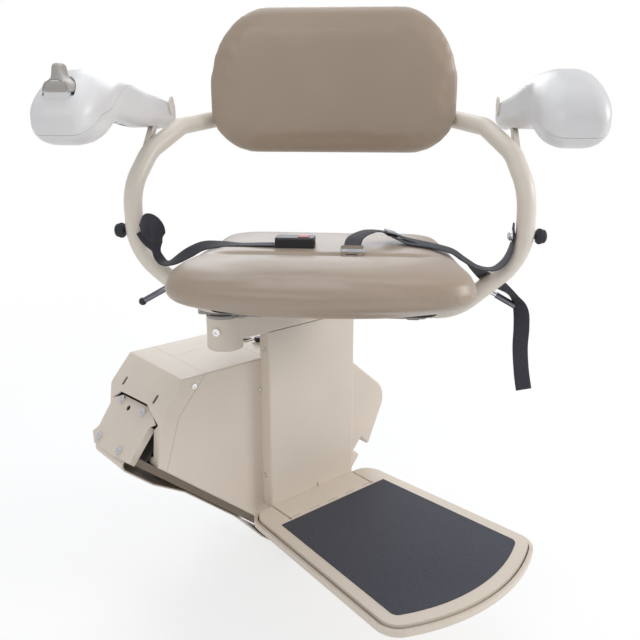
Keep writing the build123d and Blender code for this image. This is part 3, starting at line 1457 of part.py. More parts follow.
backrest_bracket.part.label = "backrest_bracket"

# =====================================================================
# Ears on the side tubes that carry the armrests
# =====================================================================
EAR_FOOT = (-8.0, 611.0)
EAR_EYE = 8.0
PIN_HEAD = 14.5
PIN_START = 262.5
PIN_END = 300.0


def ear(side):
    """Plate welded to the side tube, with the pin the armrest turns on."""
    with BuildPart() as plate:
        with BuildSketch(seat_side(side * EAR_U - EAR_PLATE / 2)):
            with Locations((ARM_PIVOT_V, ARM_PIVOT_Z), EAR_FOOT):
                Circle(EAR_EYE)
            run = Vector(ARM_PIVOT_V - EAR_FOOT[0], ARM_PIVOT_Z - EAR_FOOT[1])
            normal = Vector(-run.Y, run.X).normalized() * EAR_EYE
            foot = Vector(*EAR_FOOT)
            with BuildLine():
                Polyline(foot + normal, foot - normal, foot + run - normal, foot + run + normal, close=True)
            make_face()
        extrude(amount=EAR_PLATE)
        with BuildLine() as route:
            FilletPolyline(*side_points(side), radius=SIDE_RADII)
        with BuildSketch(Plane(origin=route.wire() @ 0, z_dir=route.wire() % 0)):
            Circle(TUBE_RADIUS + RUN_FIT)
        sweep(path=route.wire(), mode=Mode.SUBTRACT)
        with BuildSketch(seat_side(side * PIN_START)):
            with Locations((ARM_PIVOT_V, ARM_PIVOT_Z)):
                Circle(PIN_HEAD)
        extrude(amount=side * 2.2)
        with BuildSketch(seat_side(side * PIN_START)):
            with Locations((ARM_PIVOT_V, ARM_PIVOT_Z)):
                Circle(ARM_PIN)
        extrude(amount=side * (PIN_END - PIN_START))
    return plate.part.solids().sort_by(SortBy.VOLUME)[-1]


with BuildPart() as arm_brackets:
    add(ear(LEFT))
    add(ear(RIGHT))
arm_brackets.part.label = "arm_brackets"

# =====================================================================
# Armrests
# =====================================================================
# depth, middle of the width, half-width, underside and top
ARM_STATIONS = (
    (-290, 307, 22, 652, 676),
    (-284, 307, 31, 645, 688),
    (-270, 306, 38, 639, 703),
    (-250, 305, 41, 637, 716),
    (-225, 305, 41, 637, 725),
    (-195, 305, 39, 639, 728),
    (-160, 304, 33, 643, 727),
    (-120, 302, 28, 647, 724),
    (-60, 299, 26, 648, 716),
    (0, 294, 24, 646, 705),
    (60, 287, 22, 642, 694),
    (104, 286, 21, 641, 691),
)
ARM_REAR = 104.0
PARTING = 0.4
# depth and height of the line where the padded top meets the lower shell
PARTING_LINE = (
    (120, 670), (75, 677), (0, 692), (-80, 707), (-110, 705),
    (-150, 688), (-200, 680), (-246, 674), (-285, 652), (-310, 646),
)


def arm_body(side, stations, inset=0.0):
    """Armrest form lofted through rounded sections along the seat's depth."""
    with BuildPart() as body:
        for v, u, half, low, high in stations:
            wide = 2 * (half - inset)
            tall = high - low - 2 * inset
            with BuildSketch(seat_front(v)):
                with Locations((side * u, (low + high) / 2)):
                    RectangleRounded(wide, tall, 0.85 * min(wide, tall) / 2)
        loft()
    return body.part


def below_parting(shift):
    """Side view of everything under the parting line."""
    with BuildSketch() as face:
        with BuildLine():
            line = [(v, z + shift) for v, z in PARTING_LINE]
            Polyline(*line, (-340, 646 + shift), (-340, 560), (160, 560), (160, 670 + shift), close=True)
        make_face()
    return face.sketch


def arm_shell(side, upper):
    """Upper or lower shell of an armrest, hollow, slotted for its ear and bored for the pin."""
    with BuildPart() as shell:
        add(arm_body(side, ARM_STATIONS))
        # round off the rear end
        with BuildSketch(seat_side(side * (EAR_U + 10) - 60)):
            with BuildLine():
                FilletPolyline(
                    (-330, 600), (-330, 790), (30, 790), (30, 703), (ARM_REAR - 0.5, 694), (ARM_REAR - 0.5, 600),
                    radius=[0, 0, 0, 0, 25, 0],
                    close=True,
                )
            make_face()
        extrude(amount=120, mode=Mode.INTERSECT)
        add(arm_body(side, [s for s in ARM_STATIONS if -225 <= s[0] <= 0], SHELL_WALL), mode=Mode.SUBTRACT)
        with BuildSketch(seat_side(side * (EAR_U + 10) - 60)):
            add(below_parting(PARTING / 2 if upper else -PARTING / 2))
        extrude(amount=120, mode=Mode.SUBTRACT if upper else Mode.INTERSECT)
        # slot for the ear, open below and behind
        with BuildSketch(seat_side(side * EAR_U - EAR_PLATE / 2 - 0.5)):
            with BuildLine():
                Polyline(
                    (10, 600), (10, ARM_PIVOT_Z + EAR_EYE + 1), (160, ARM_PIVOT_Z + EAR_EYE + 1), (160, 600),
                    close=True,
                )
            make_face()
        extrude(amount=EAR_PLATE + 1, mode=Mode.SUBTRACT)
        with BuildSketch(seat_side(side * (PIN_START - 2))):
            with Locations((ARM_PIVOT_V, ARM_PIVOT_Z)):
                Circle(ARM_PIN + RUN_FIT)
        extrude(amount=side * (PIN_END + SEAT_GAP - PIN_START + 2), mode=Mode.SUBTRACT)
    return shell.part


VENTS_V = (-196.0, -150.0, -104.0, -58.0)


def lower_shell(side):
    with BuildPart() as shell:
        add(arm_shell(side, False))
        with BuildSketch(seat_flat(630)):
            with Locations(*[(side * 302, v) for v in VENTS_V]):
                SlotOverall(34, 6, rotation=90)
        extrude(amount=26, mode=Mode.SUBTRACT)
    return shell.part


with BuildPart() as right_armrest:
    add(arm_shell(RIGHT, True))
right_armrest.part.label = "right_armrest"

with BuildPart() as left_arm_underside:
    add(lower_shell(LEFT))
left_arm_underside.part.label = "left_arm_underside"

with BuildPart() as right_arm_underside:
    add(lower_shell(RIGHT))
right_arm_underside.part.label = "right_arm_underside"

# ---- toggle on the left armrest ----
BOSS_RADIUS = 10.0
BOSS_HALF = 11.0
DOME_RADIUS = 15.0
DOME_HALF = 17.0
CAP_RADIUS = 19.0
TRUNNION = 3.0
NECK = 12.0
PADDLE_CENTRE = (-PADDLE_U, PADDLE_Z)


def at_paddle(half):
    """Plane square to the toggle's axis, half in front of its middle."""
    return seat_front(PADDLE_V + half)


def about_paddle(radius, lean):
    """Point at a radius from the toggle's axis, leaning from upright by an angle."""
    angle = radians(lean)
    return PADDLE_CENTRE[0] + radius * sin(angle), PADDLE_CENTRE[1] + radius * cos(angle)


with BuildPart() as left_armrest:
    add(arm_shell(LEFT, True))
    # trough for the cap, with a dome left standing in it
    with BuildSketch(at_paddle(DOME_HALF + 1.8)):
        with Locations(PADDLE_CENTRE):
            Circle(CAP_RADIUS + 0.8)
        with Locations((PADDLE_CENTRE[0], PADDLE_CENTRE[1] - 3 - 20)):
            Rectangle(60, 40, mode=Mode.SUBTRACT)
    extrude(amount=2 * DOME_HALF + 3.6, mode=Mode.SUBTRACT)
    with BuildSketch(at_paddle(DOME_HALF)):
        with Locations(PADDLE_CENTRE):
            Circle(DOME_RADIUS)
    extrude(amount=2 * DOME_HALF)
    # chamber for the boss and the swinging neck, then the trunnion bore
    with BuildSketch(at_paddle(BOSS_HALF + 0.4)):
        with Locations(PADDLE_CENTRE):
            Circle(BOSS_RADIUS + 0.4)
        with BuildLine():
            Polyline(
                (PADDLE_CENTRE[0] - 8, PADDLE_Z),
                (PADDLE_CENTRE[0] - 11, PADDLE_Z + 30),
                (PADDLE_CENTRE[0] + 11, PADDLE_Z + 30),
                (PADDLE_CENTRE[0] + 8, PADDLE_Z),
                close=True,
            )
        make_face()
    extrude(amount=2 * BOSS_HALF + 0.8, mode=Mode.SUBTRACT)
    with BuildSketch(at_paddle(DOME_HALF - 1)):
        with Locations(PADDLE_CENTRE):
            Circle(TRUNNION + RUN_FIT)
    extrude(amount=2 * DOME_HALF - 2, mode=Mode.SUBTRACT)
left_armrest.part.label = "left_armrest"

with BuildPart() as toggle_paddle:
    with BuildSketch(at_paddle(BOSS_HALF)):
        with Locations(PADDLE_CENTRE):
            Circle(BOSS_RADIUS)
        with Locations((PADDLE_CENTRE[0], PADDLE_Z + 9)):
            Rectangle(NECK, 18)
    extrude(amount=2 * BOSS_HALF)
    with BuildSketch(at_paddle(DOME_HALF - 1.4)):
        with Locations(PADDLE_CENTRE):
            Circle(TRUNNION)
    extrude(amount=2 * DOME_HALF - 2.8)
    # curved cap over the dome
    with BuildSketch(at_paddle(DOME_HALF + 1)):
        with Locations(PADDLE_CENTRE):
            Circle(CAP_RADIUS)
            Circle(DOME_RADIUS + 0.4, mode=Mode.SUBTRACT)
        with BuildLine():
            fan = [about_paddle(40, lean) for lean in (-75, -40, 0, 40, 75)]
            Polyline(PADDLE_CENTRE, *fan, close=True)
        make_face(mode=Mode.INTERSECT)
    extrude(amount=2 * DOME_HALF + 2)
    # fin for the hand
    with BuildSketch(at_paddle(DOME_HALF - 3)):
        with BuildLine():
            FilletPolyline(
                (PADDLE_CENTRE[0] - 7.5, PADDLE_Z + 17),
                (PADDLE_CENTRE[0] - 6, PADDLE_Z + 33),
                (PADDLE_CENTRE[0] + 6, PADDLE_Z + 33),
                (PADDLE_CENTRE[0] + 7.5, PADDLE_Z + 17),
                radius=[0, 5, 5, 0],
                close=True,
            )
        make_face()
    extrude(amount=2 * DOME_HALF - 6)
toggle_paddle.part.label = "toggle_paddle"

# =====================================================================
# Swivel levers and latch
# =====================================================================
LEVER_ROD = 4.0
LEVER_ROUTE = ((LEVER_U, LEVER_Z), (250.0, 392.0), (266.0, 388.0), (315.0, 360.0))


def lever(side):
    """Bent rod with an eye and a cross pin."""
    with BuildPart() as rod:
        with BuildLine() as route:
            FilletPolyline(*[seat_point(side * u, LEVER_V, z) for u, z in LEVER_ROUTE], radius=[14, 12])
        with BuildSketch(Plane(origin=route.wire() @ 0, z_dir=route.wire() % 0)):
            Circle(LEVER_ROD)
        sweep(path=route.wire())
        with BuildSketch(seat_front(LEVER_V + 4)):
            with Locations((side * LEVER_U, LEVER_Z)):
                Circle(LEVER_EYE - 1)
        extrude(amount=8)
        with BuildSketch(seat_front(LEVER_V + 8)):
            with Locations((side * LEVER_U, LEVER_Z)):
                Circle(LEVER_PIN)
        extrude(amount=16)
    return rod.part


with BuildPart() as right_lever:
    add(lever(RIGHT))
right_lever.part.label = "right_lever"

with BuildPart() as left_lever:
    add(mirror(right_lever.part, about=seat_side(0)))
left_lever.part.label = "left_lever"

with BuildPart() as swivel_latch:
    with BuildSketch(seat_flat(LATCH_BASE)):
        with Locations((LATCH_TIP + 20, 0)):
            Rectangle(40, LATCH_WIDTH)
        with Locations((LATCH_TIP + 35, 0)):
            Circle(2, mode=Mode.SUBTRACT)
    extrude(amount=LATCH)
swivel_latch.part.label = "swivel_latch"

# =====================================================================
# Lap belt
# =====================================================================
# middle of the webbing (u, v, z) and the direction of its width, from the fitting to the tube
TONGUE_SIDE = (
    ((42.7, -102.4, 483.4), (1, 0, 0)),
    ((47, -76, 492), (1, -0.15, 0)),
    ((68, -44, 496), (0.75, -0.66, 0)),
    ((98, -26, 490), (0.3, -0.95, 0)),
    ((126, -28, 481), (0, -1, 0)),
    ((159, -44, 476.5), (-0.35, -0.93, 0)),
    ((188, -59, 471.5), (-0.35, -0.93, 0)),
    ((208, -68, 460), (-0.3, -0.95, 0)),
    ((228, -76, 450), (-0.2, -0.98, 0)),
    ((252, -76, 448), (0.1, -0.99, 0)),
    ((270, -63, 459), (0.1, -0.99, 0)),
    ((281, -47, 479), (0, -1, 0)),
)
BUCKLE_SIDE = (
    ((-67.5, -70, 478.3), (0, 1, 0)),
    ((-80, -70, 478.3), (0, 1, 0)),
    ((-100, -68, 477.5), (0, 1, 0)),
    ((-132, -64, 476), (0.1, 1, 0)),
    ((-162, -62, 474.5), (0, 1, 0)),
    ((-188, -64, 470.5), (-0.1, 1, 0)),
    ((-208, -70, 460), (-0.2, 0.98, 0)),
    ((-228, -76, 450), (-0.2, 0.98, 0)),
    ((-252, -76, 448), (0.1, 0.99, 0)),
    ((-270, -63, 459), (0.1, 0.99, 0)),
    ((-281, -47, 479), (0, 1, 0)),
)


def webbing(stations):
    """Belt webbing lofted through its stations."""
    points = [seat_point(*place) for place, width in stations]
    with BuildPart() as belt:
        for i, (place, width) in enumerate(stations):
            ahead = points[min(i + 1, len(points) - 1)] - points[max(i - 1, 0)]
            if i == len(points) - 1:
                ahead = Vector(0, 0, 1)
            across = SEAT_X * width[0] + SEAT_Y * width[1]
            with BuildSketch(Plane(origin=points[i], x_dir=across, z_dir=ahead)):
                Rectangle(WEB_WIDTH, WEB)
        loft()
    return belt.part


with BuildPart() as buckle_strap:
    add(webbing(BUCKLE_SIDE))
buckle_strap.part.label = "buckle_strap"

with BuildPart() as tongue_strap:
    add(webbing(TONGUE_SIDE))
tongue_strap.part.label = "tongue_strap"

BUCKLE = (60.0, 30.0, 17.0)
BUCKLE_AT = (-45.0, -70.0)
BUCKLE_BASE = CUSHION_TOP + SEAT_GAP
BUTTON = (17.0, 16.0)
BUTTON_AT = (-32.0, -70.0)
BUTTON_DEPTH = 5.0

with BuildPart() as belt_buckle:
    with BuildSketch(seat_flat(BUCKLE_BASE)):
        with Locations(BUCKLE_AT):
            RectangleRounded(BUCKLE[0], BUCKLE[1], 6)
    extrude(amount=BUCKLE[2])
    fillet(belt_buckle.faces().sort_by(Axis.Z)[-1].edges(), 3)
    # well for the button and the mouth for the tongue
    with BuildSketch(seat_flat(BUCKLE_BASE + BUCKLE[2] - BUTTON_DEPTH)):
        with Locations(BUTTON_AT):
            Rectangle(BUTTON[0] + 2 * SEAT_GAP, BUTTON[1] + 2 * SEAT_GAP)
    extrude(amount=BUTTON_DEPTH + 1, mode=Mode.SUBTRACT)
    with BuildSketch(seat_side(BUCKLE_AT[0] + BUCKLE[0] / 2 - 24)):
        with Locations((BUCKLE_AT[1], BUCKLE_BASE + 8)):
            Rectangle(22, 3.6)
    extrude(amount=30, mode=Mode.SUBTRACT)
    # opening the webbing is threaded through
    with BuildSketch(seat_side(BUCKLE_AT[0] - BUCKLE[0] / 2 - 5)):
        with Locations((BUCKLE_AT[1], BUCKLE_BASE + 4)):
            Rectangle(WEB_WIDTH + 1, 3.6)
    extrude(amount=14, mode=Mode.SUBTRACT)
belt_buckle.part.label = "belt_buckle"

with BuildPart() as buckle_button:
    with BuildSketch(seat_flat(BUCKLE_BASE + BUCKLE[2] - 2.6)):
        with Locations(BUTTON_AT):
            RectangleRounded(BUTTON[0], BUTTON[1], 2)
    extrude(amount=3.6)
buckle_button.part.label = "buckle_button"

TONGUE_PLANE = Plane(
    origin=seat_point(42.5, -121.0, CUSHION_TOP + 5.1),
    x_dir=SEAT_X,
    z_dir=SEAT_Y * -0.21 + Vector(0, 0, 0.98),
)

with BuildPart() as latch_tongue:
    with BuildSketch(TONGUE_PLANE):
        RectangleRounded(31, 34, 3)
        with Locations((0, -8)):
            Rectangle(15, 9, mode=Mode.SUBTRACT)
    extrude(amount=1.2, both=True)
    with BuildSketch(TONGUE_PLANE.offset(-3.4)):
        with Locations((0, 10)):
            RectangleRounded(33, 13, 3)
    extrude(amount=6.8)
latch_tongue.part.label = "latch_tongue"

KNOB_RADIUS = 9.0
KNOB_TIP = 322.0
TUBE_OUTSIDE = 315.0
TUBE_INSIDE = 283.0

with BuildPart() as belt_anchors:
    for side in (LEFT, RIGHT):
        with BuildSketch(seat_side(side * TUBE_OUTSIDE)):
            with Locations((ANCHOR_V, ANCHOR_Z)):
                Circle(KNOB_RADIUS)
                with PolarLocations(KNOB_RADIUS, 12):
                    Circle(0.9, mode=Mode.SUBTRACT)
        extrude(amount=side * (KNOB_TIP - TUBE_OUTSIDE))
        with BuildSketch(seat_side(side * 276)):
            with Locations((ANCHOR_V, ANCHOR_Z)):
                Circle(BOLT_HOLE)
        extrude(amount=side * 40)
        # strap plate and bolt head on the inside of the tube
        with BuildSketch(seat_side(side * (TUBE_INSIDE - 2))):
            with Locations((ANCHOR_V, ANCHOR_Z)):
                Circle(11)
        extrude(amount=side * 2)
        with BuildSketch(seat_side(side * (TUBE_INSIDE - 2))):
            with Locations((ANCHOR_V, ANCHOR_Z)):
                Circle(8)
        extrude(amount=-side * 6, taper=20)
belt_anchors.part.label = "belt_anchors"

# =====================================================================
# Screws that hold the covers
# =====================================================================
SCREW_HEAD = 4.5
SCREW_SHANK = 2.5


def screw(outward, places, head_radius, head, shank_radius, shank):
    """Screws seated on a plane that faces outwards, with a hexagon socket."""
    with BuildPart() as made:
        for radius, reach in ((head_radius, head), (shank_radius, -shank)):
            with BuildSketch(outward):
                with Locations(*places):
                    Circle(radius)
            extrude(amount=reach)
        with BuildSketch(outward.offset(head)):
            with Locations(*places):
                RegularPolygon(0.55 * head_radius, 6)
        extrude(amount=-0.6 * head, mode=Mode.SUBTRACT)
    return made.part


UPPER_SEAT = Plane(origin=rail_point(WALL_SCREW_A, 0, 0), x_dir=(0, 1, 0), z_dir=-DOWN)
COLUMN_LEFT_WALL = Plane(origin=(COLUMN_LEFT, 0, 0), x_dir=(0, 1, 0), z_dir=(-1, 0, 0))
COLUMN_RIGHT_WALL = Plane(origin=(COLUMN_RIGHT, 0, 0), x_dir=(0, 1, 0), z_dir=(1, 0, 0))

with BuildPart() as cover_screws:
    add(screw(rail_side(HOUSING_FRONT), [SIDE_SCREW, SIDE_SCREW_2], SCREW_HEAD, 2.4, SCREW_SHANK, 8))
    add(screw(COLUMN_RIGHT_WALL, COLUMN_SCREWS, SCREW_HEAD, 2.4, SCREW_SHANK, 8))
    add(screw(COLUMN_LEFT_WALL, [(y, -z) for y, z in COLUMN_SCREWS], SCREW_HEAD, 2.4, SCREW_SHANK, 8))
    add(screw(SOCKET_BOLT_SEAT, [(0, 0)], SOCKET_BOLT_HEAD, 3, SOCKET_BOLT_RADIUS, 9))
    add(screw(UPPER_SEAT, [(y, -WALL_SCREW_N) for y in SLOT_Y], SCREW_HEAD, 3, 2, UPPER_BRACKET_A + 3 - WALL_SCREW_A))
cover_screws.part.label = "cover_screws"

# =====================================================================
# Files
# =====================================================================
os.makedirs("parts", exist_ok=True)
for piece in (
    chassis_plate, base_tray, front_housing, rear_top_panel, upper_end_cover, lower_end_cover,
    sensor_brackets, sensor_bolts, cover_screws, drive_motor, gearbox, battery_pack, control_board,
    safety_gear, roller_axles, switch_block, column_cover, support_column, seat_arm, index_plate,
    footrest_bracket, swivel_post, upper_sensor_plate, lower_sensor_plate, bottom_pan, power_switch,
    breaker_button, upper_top_roller, upper_bottom_roller, lower_top_roller, lower_bottom_roller,
    drive_pinion, footrest_plate, footrest_mat, footrest_pin, footrest_pan, seat_base,
    left_side_tube, right_side_tube, back_tube, arm_brackets, backrest_bracket, backrest_board,
    backrest_cushion, seat_board, seat_cushion, left_armrest, right_armrest, left_arm_underside,
    right_arm_underside, toggle_paddle, left_lever, right_lever, swivel_latch, buckle_strap,
    tongue_strap, belt_buckle, buckle_button, latch_tongue, belt_anchors,
):
    export_step(piece.part, "parts/" + piece.part.label + ".step")
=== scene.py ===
"""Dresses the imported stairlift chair: finishes, upholstery, lap belt, trim and studio."""
import json
import math
from contextlib import contextmanager

import bmesh
import bpy
from bpy.props import FloatProperty, FloatVectorProperty, IntProperty, PointerProperty
from mathutils import Matrix, Vector


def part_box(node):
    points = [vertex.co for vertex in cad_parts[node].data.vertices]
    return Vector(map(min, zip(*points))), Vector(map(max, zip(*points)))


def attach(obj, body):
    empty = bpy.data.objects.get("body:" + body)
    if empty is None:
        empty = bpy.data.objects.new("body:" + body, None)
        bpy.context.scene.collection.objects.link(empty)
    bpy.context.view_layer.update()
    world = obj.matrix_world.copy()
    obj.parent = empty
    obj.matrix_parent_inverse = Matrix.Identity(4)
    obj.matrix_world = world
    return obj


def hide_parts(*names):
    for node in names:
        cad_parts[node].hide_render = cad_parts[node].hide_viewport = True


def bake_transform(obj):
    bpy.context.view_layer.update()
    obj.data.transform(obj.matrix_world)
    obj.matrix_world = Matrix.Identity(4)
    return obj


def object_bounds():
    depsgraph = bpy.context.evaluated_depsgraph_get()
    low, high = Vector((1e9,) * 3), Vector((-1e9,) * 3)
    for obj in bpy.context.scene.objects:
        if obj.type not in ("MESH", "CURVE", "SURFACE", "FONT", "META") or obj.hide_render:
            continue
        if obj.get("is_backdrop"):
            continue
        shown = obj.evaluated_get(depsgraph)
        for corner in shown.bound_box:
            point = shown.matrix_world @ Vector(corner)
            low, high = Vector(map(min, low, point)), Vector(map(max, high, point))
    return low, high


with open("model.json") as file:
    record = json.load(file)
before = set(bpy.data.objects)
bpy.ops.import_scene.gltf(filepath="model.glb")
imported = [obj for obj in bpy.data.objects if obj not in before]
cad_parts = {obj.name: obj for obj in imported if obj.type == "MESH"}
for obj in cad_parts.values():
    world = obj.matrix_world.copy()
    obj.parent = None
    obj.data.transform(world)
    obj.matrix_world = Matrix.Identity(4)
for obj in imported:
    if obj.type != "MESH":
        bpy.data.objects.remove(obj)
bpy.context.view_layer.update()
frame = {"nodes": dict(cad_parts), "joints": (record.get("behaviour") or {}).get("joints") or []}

bl_info = {
    "name": "Stairlift chair dressing",
    "version": (1, 0, 0),
    "blender": (4, 5, 0),
    "location": "3D View > Sidebar > Stairlift",
    "description": "Upholstery, belt, trim, finishes and studio for the stairlift chair",
    "category": "Object",
}

NODES = frame["nodes"]
JOINTS = {joint["name"]: joint for joint in frame["joints"]}

MM = 0.001
UP = Vector((0, 0, 1))
LEFT = -1
RIGHT = 1

# the seat's own directions come from its joints: the flip axis lies across it, the post turns it
SEAT_X = -Vector(JOINTS["seat_flip"]["axis"])
SEAT_Y = UP.cross(SEAT_X)
POST = Vector((JOINTS["seat_swivel"]["pos_m"][0], JOINTS["seat_swivel"]["pos_m"][1], 0))
SEAT_OFFSET = 173.0


def seat_point(u, v, z):
    """Place in metres, u mm to the sitter's side, v mm behind the post and z mm up."""
    return POST + (SEAT_X * (u + SEAT_OFFSET) + SEAT_Y * v + UP * z) * MM


def seat_place(point):
    """How far a point lies to the sitter's side and behind the post, in mm."""
    place = (point - POST) / MM
    return place.dot(SEAT_X) - SEAT_OFFSET, place.dot(SEAT_Y)


# =====================================================================
# Sizes and colours that a user would change
# =====================================================================


def colour(name, description, value):
    return FloatVectorProperty(
        name=name, description=description, subtype="COLOR", size=3, min=0, max=1, default=value
    )


class ChairColours(bpy.types.PropertyGroup):
    """Base colours of the chair's finishes."""

    cream: colour("Cream", "Powder coat of the carriage, column and footrest", (0.70, 0.615, 0.52))
    tube: colour("Tube", "Powder coat of the seat's tubes", (0.72, 0.655, 0.57))
    arm: colour("Armrest", "Moulded shells of the armrests", (0.70, 0.69, 0.685))
    vinyl: colour("Vinyl", "Upholstery of the seat and backrest", (0.375, 0.295, 0.225))
    # the tray's dark brown is painted shade: it stands in for the shade under the housing's overhang
    brown: colour("Brown", "Shaded tray below the covers", (0.17, 0.13, 0.095))
    webbing: colour("Webbing", "Lap belt", (0.026, 0.026, 0.036))
    mat: colour("Mat", "Rubber mat on the footrest", (0.050, 0.052, 0.068))
    paddle: colour("Toggle", "Grey toggle on the left armrest", (0.36, 0.335, 0.31))


class ChairSizes(bpy.types.PropertyGroup):
    """Sizes of the soft parts and trim."""

    pad_voxel: FloatProperty(
        name="Pad grain", description="Voxel of the upholstery mesh", default=0.006, unit="LENGTH"
    )
    pad_swell: FloatProperty(
        name="Pad swell", description="Furthest that a pad may puff out", default=0.0032, unit="LENGTH"
    )
    pad_inset: FloatProperty(
        name="Pad inset", description="How much smaller a pad starts", default=0.0015, unit="LENGTH"
    )
    web_width: FloatProperty(
        name="Webbing width", description="Width of the belt", default=0.025, unit="LENGTH"
    )
    web_thickness: FloatProperty(
        name="Webbing thickness", description="Thickness of the belt", default=0.0018, unit="LENGTH"
    )
    knob_radius: FloatProperty(
        name="Knob radius", description="Rubber knobs on the tubes", default=0.0108, unit="LENGTH"
    )
    knob_ribs: IntProperty(name="Knob ribs", description="Ribs round each knob", default=18, min=3)
    grip_radius: FloatProperty(
        name="Grip radius", description="Sleeves on the swivel levers", default=0.0062, unit="LENGTH"
    )
    stitch: FloatProperty(
        name="Stitch", description="Length of one stitch in the belt", default=0.0032, unit="LENGTH"
    )


# =====================================================================
# Shader maths
# =====================================================================


class Number:
    """A value socket that turns Python expressions into Math nodes."""

    def __init__(self, finish, socket):
        self.finish = finish
        self.socket = socket

    def math(self, operation, *others):
        values = {i: other for i, other in enumerate((self, *others))}
        node = self.finish.node("ShaderNodeMath", {"operation": operation}, values)
        return Number(self.finish, node.outputs[0])

    def __add__(self, other):
        return self.math("ADD", other)

    def __mul__(self, other):
        return self.math("MULTIPLY", other)

    def __sub__(self, other):
        return self.math("SUBTRACT", other)

    def __rsub__(self, other):
        return (self * -1.0) + other

    __radd__ = __add__
    __rmul__ = __mul__

    def clamp(self):
        node = self.finish.node("ShaderNodeClamp", {}, {0: self})
        return Number(self.finish, node.outputs[0])

    def above(self, edge, soft):
        """0 below an edge and 1 above it, with a soft step."""
        settings = {"interpolation_type": "SMOOTHSTEP"}
        node = self.finish.node("ShaderNodeMapRange", settings, {0: self, 1: edge - soft, 2: edge + soft})
        return Number(self.finish, node.outputs[0])


class Nodes:
    """A node tree, with one way to add a node and to feed a socket."""

    def __init__(self, tree):
        self.tree = tree

    def node(self, kind, settings=None, sockets=None):
        made = self.tree.nodes.new(kind)
        for key, value in (settings or {}).items():
            setattr(made, key, value)
        for key, value in (sockets or {}).items():
            self.feed(made.inputs[key], value)
        return made

    def feed(self, socket, value):
        value = getattr(value, "socket", value)
        if isinstance(value, bpy.types.NodeSocket):
            self.tree.links.new(value, socket)
        else:
            socket.default_value = value


class Finish(Nodes):
    """One material and the nodes that it is built from."""

    def __init__(self, name):
        self.material = bpy.data.materials.new(name)
        self.material.use_nodes = True
        super().__init__(self.material.node_tree)
        self.tree.nodes.clear()
        self.output = self.node("ShaderNodeOutputMaterial")

    def place(self, scale=(1, 1, 1)):
        """Object coordinates, scaled."""
        source = self.node("ShaderNodeTexCoord").outputs["Object"]
        return self.node("ShaderNodeMapping", {}, {"Vector": source, "Scale": scale}).outputs[0]

    def noise(self, scale, detail=3.0, rough=0.5, vector=None):
        node = self.node(
            "ShaderNodeTexNoise",
            {},
            {"Vector": vector or self.place(), "Scale": scale, "Detail": detail, "Roughness": rough},
        )
        return Number(self, node.outputs["Fac"])

    def cells(self, scale, feature="F1"):
        sockets = {"Vector": self.place(), "Scale": scale}
        node = self.node("ShaderNodeTexVoronoi", {"feature": feature}, sockets)
        return Number(self, node.outputs["Distance"])

    def mix(self, factor, first, second):
        """Colour that goes from first to second with the factor."""
        node = self.node("ShaderNodeMix", {"data_type": "RGBA"}, {0: factor, 6: first, 7: second})
        return node.outputs[2]

    def bump(self, height, distance, strength, under=None):
        sockets = {"Height": height, "Distance": distance, "Strength": strength}
        if under is not None:
            sockets["Normal"] = under
        return self.node("ShaderNodeBump", {}, sockets).outputs[0]

    def surface(self, **sockets):
        names = {key.replace("_", " "): value for key, value in sockets.items()}
        shader = self.node("ShaderNodeBsdfPrincipled", {}, names)
        self.feed(self.output.inputs["Surface"], shader.outputs[0])
        return self.material


def shade(base, factor):
    """Opaque colour, lighter or darker than the base by a factor."""
    return (*[min(1.0, channel * factor) for channel in base], 1.0)


# =====================================================================
# Finishes
# =====================================================================


def powder_coat(name, base, rough=0.42, peel=1.0):
    """Sprayed and baked coat: orange peel, faint clouding and a little handling grime."""
    finish = Finish(name)
    cloud = finish.noise(7.0, 4.0)
    peel_low = finish.noise(420.0, 2.0)
    peel_fine = finish.noise(1700.0, 2.0)
    grime = finish.noise(28.0, 6.0, 0.65).above(0.66, 0.1)
    tone = finish.mix(cloud.above(0.5, 0.25), shade(base, 0.965), shade(base, 1.03))
    tone = finish.mix(grime * 0.10, tone, shade(base, 0.78))
    normal = finish.bump(peel_low * 0.7 + peel_fine * 0.3, 0.00035 * peel, 0.35)
    return finish.surface(
        Base_Color=tone,
        Roughness=cloud * 0.10 + grime * 0.08 + (rough - 0.05),
        Normal=normal,
        Coat_Roughness=0.25,
    )


def moulded(name, base, rough=0.35, grain=900.0):
    """Injection-moulded shell with a fine spark-eroded texture."""
    finish = Finish(name)
    cloud = finish.noise(9.0, 3.0)
    pits = finish.cells(grain)
    rub = finish.noise(34.0, 5.0, 0.6).above(0.62, 0.12)
    tone = finish.mix(cloud.above(0.5, 0.3), shade(base, 0.97), shade(base, 1.02))
    tone = finish.mix(rub * 0.06, tone, shade(base, 0.8))
    return finish.surface(
        Base_Color=tone,
        Roughness=cloud * 0.08 + (rough - 0.04) - rub * 0.06,
        Normal=finish.bump(pits, 0.00012, 0.5),
    )


def leathercloth(name, base):
    """Coated vinyl: small pebbles with painted shade in the creases between them, soft sheen, faint pulls
    and clouding.
    """
    finish = Finish(name)
    warp = finish.noise(60.0, 2.0)
    pebble = finish.cells(780.0)
    pore = finish.noise(2300.0, 2.0)
    cloud = finish.noise(5.5, 4.0, 0.55)
    worn = finish.noise(17.0, 5.0, 0.6).above(0.6, 0.15)
    crease = finish.cells(780.0, feature="F2") - pebble
    tone = finish.mix(cloud.above(0.5, 0.3), shade(base, 0.95), shade(base, 1.045))
    # painted shade: the creases between the pebbles are darkened a little
    tone = finish.mix(crease.above(0.1, 0.1) * -0.10 + 0.10, tone, shade(base, 0.8))
    grain = finish.bump(pebble * -0.8 + pore * 0.2, 0.00022, 0.35)
    pulls = finish.bump(warp * 0.6 + cloud * 0.4, 0.0016, 0.18, grain)
    return finish.surface(
        Base_Color=tone,
        Roughness=cloud * 0.12 + worn * 0.06 + 0.30,
        Normal=pulls,
        Sheen_Weight=0.08,
        Sheen_Roughness=0.4,
    )


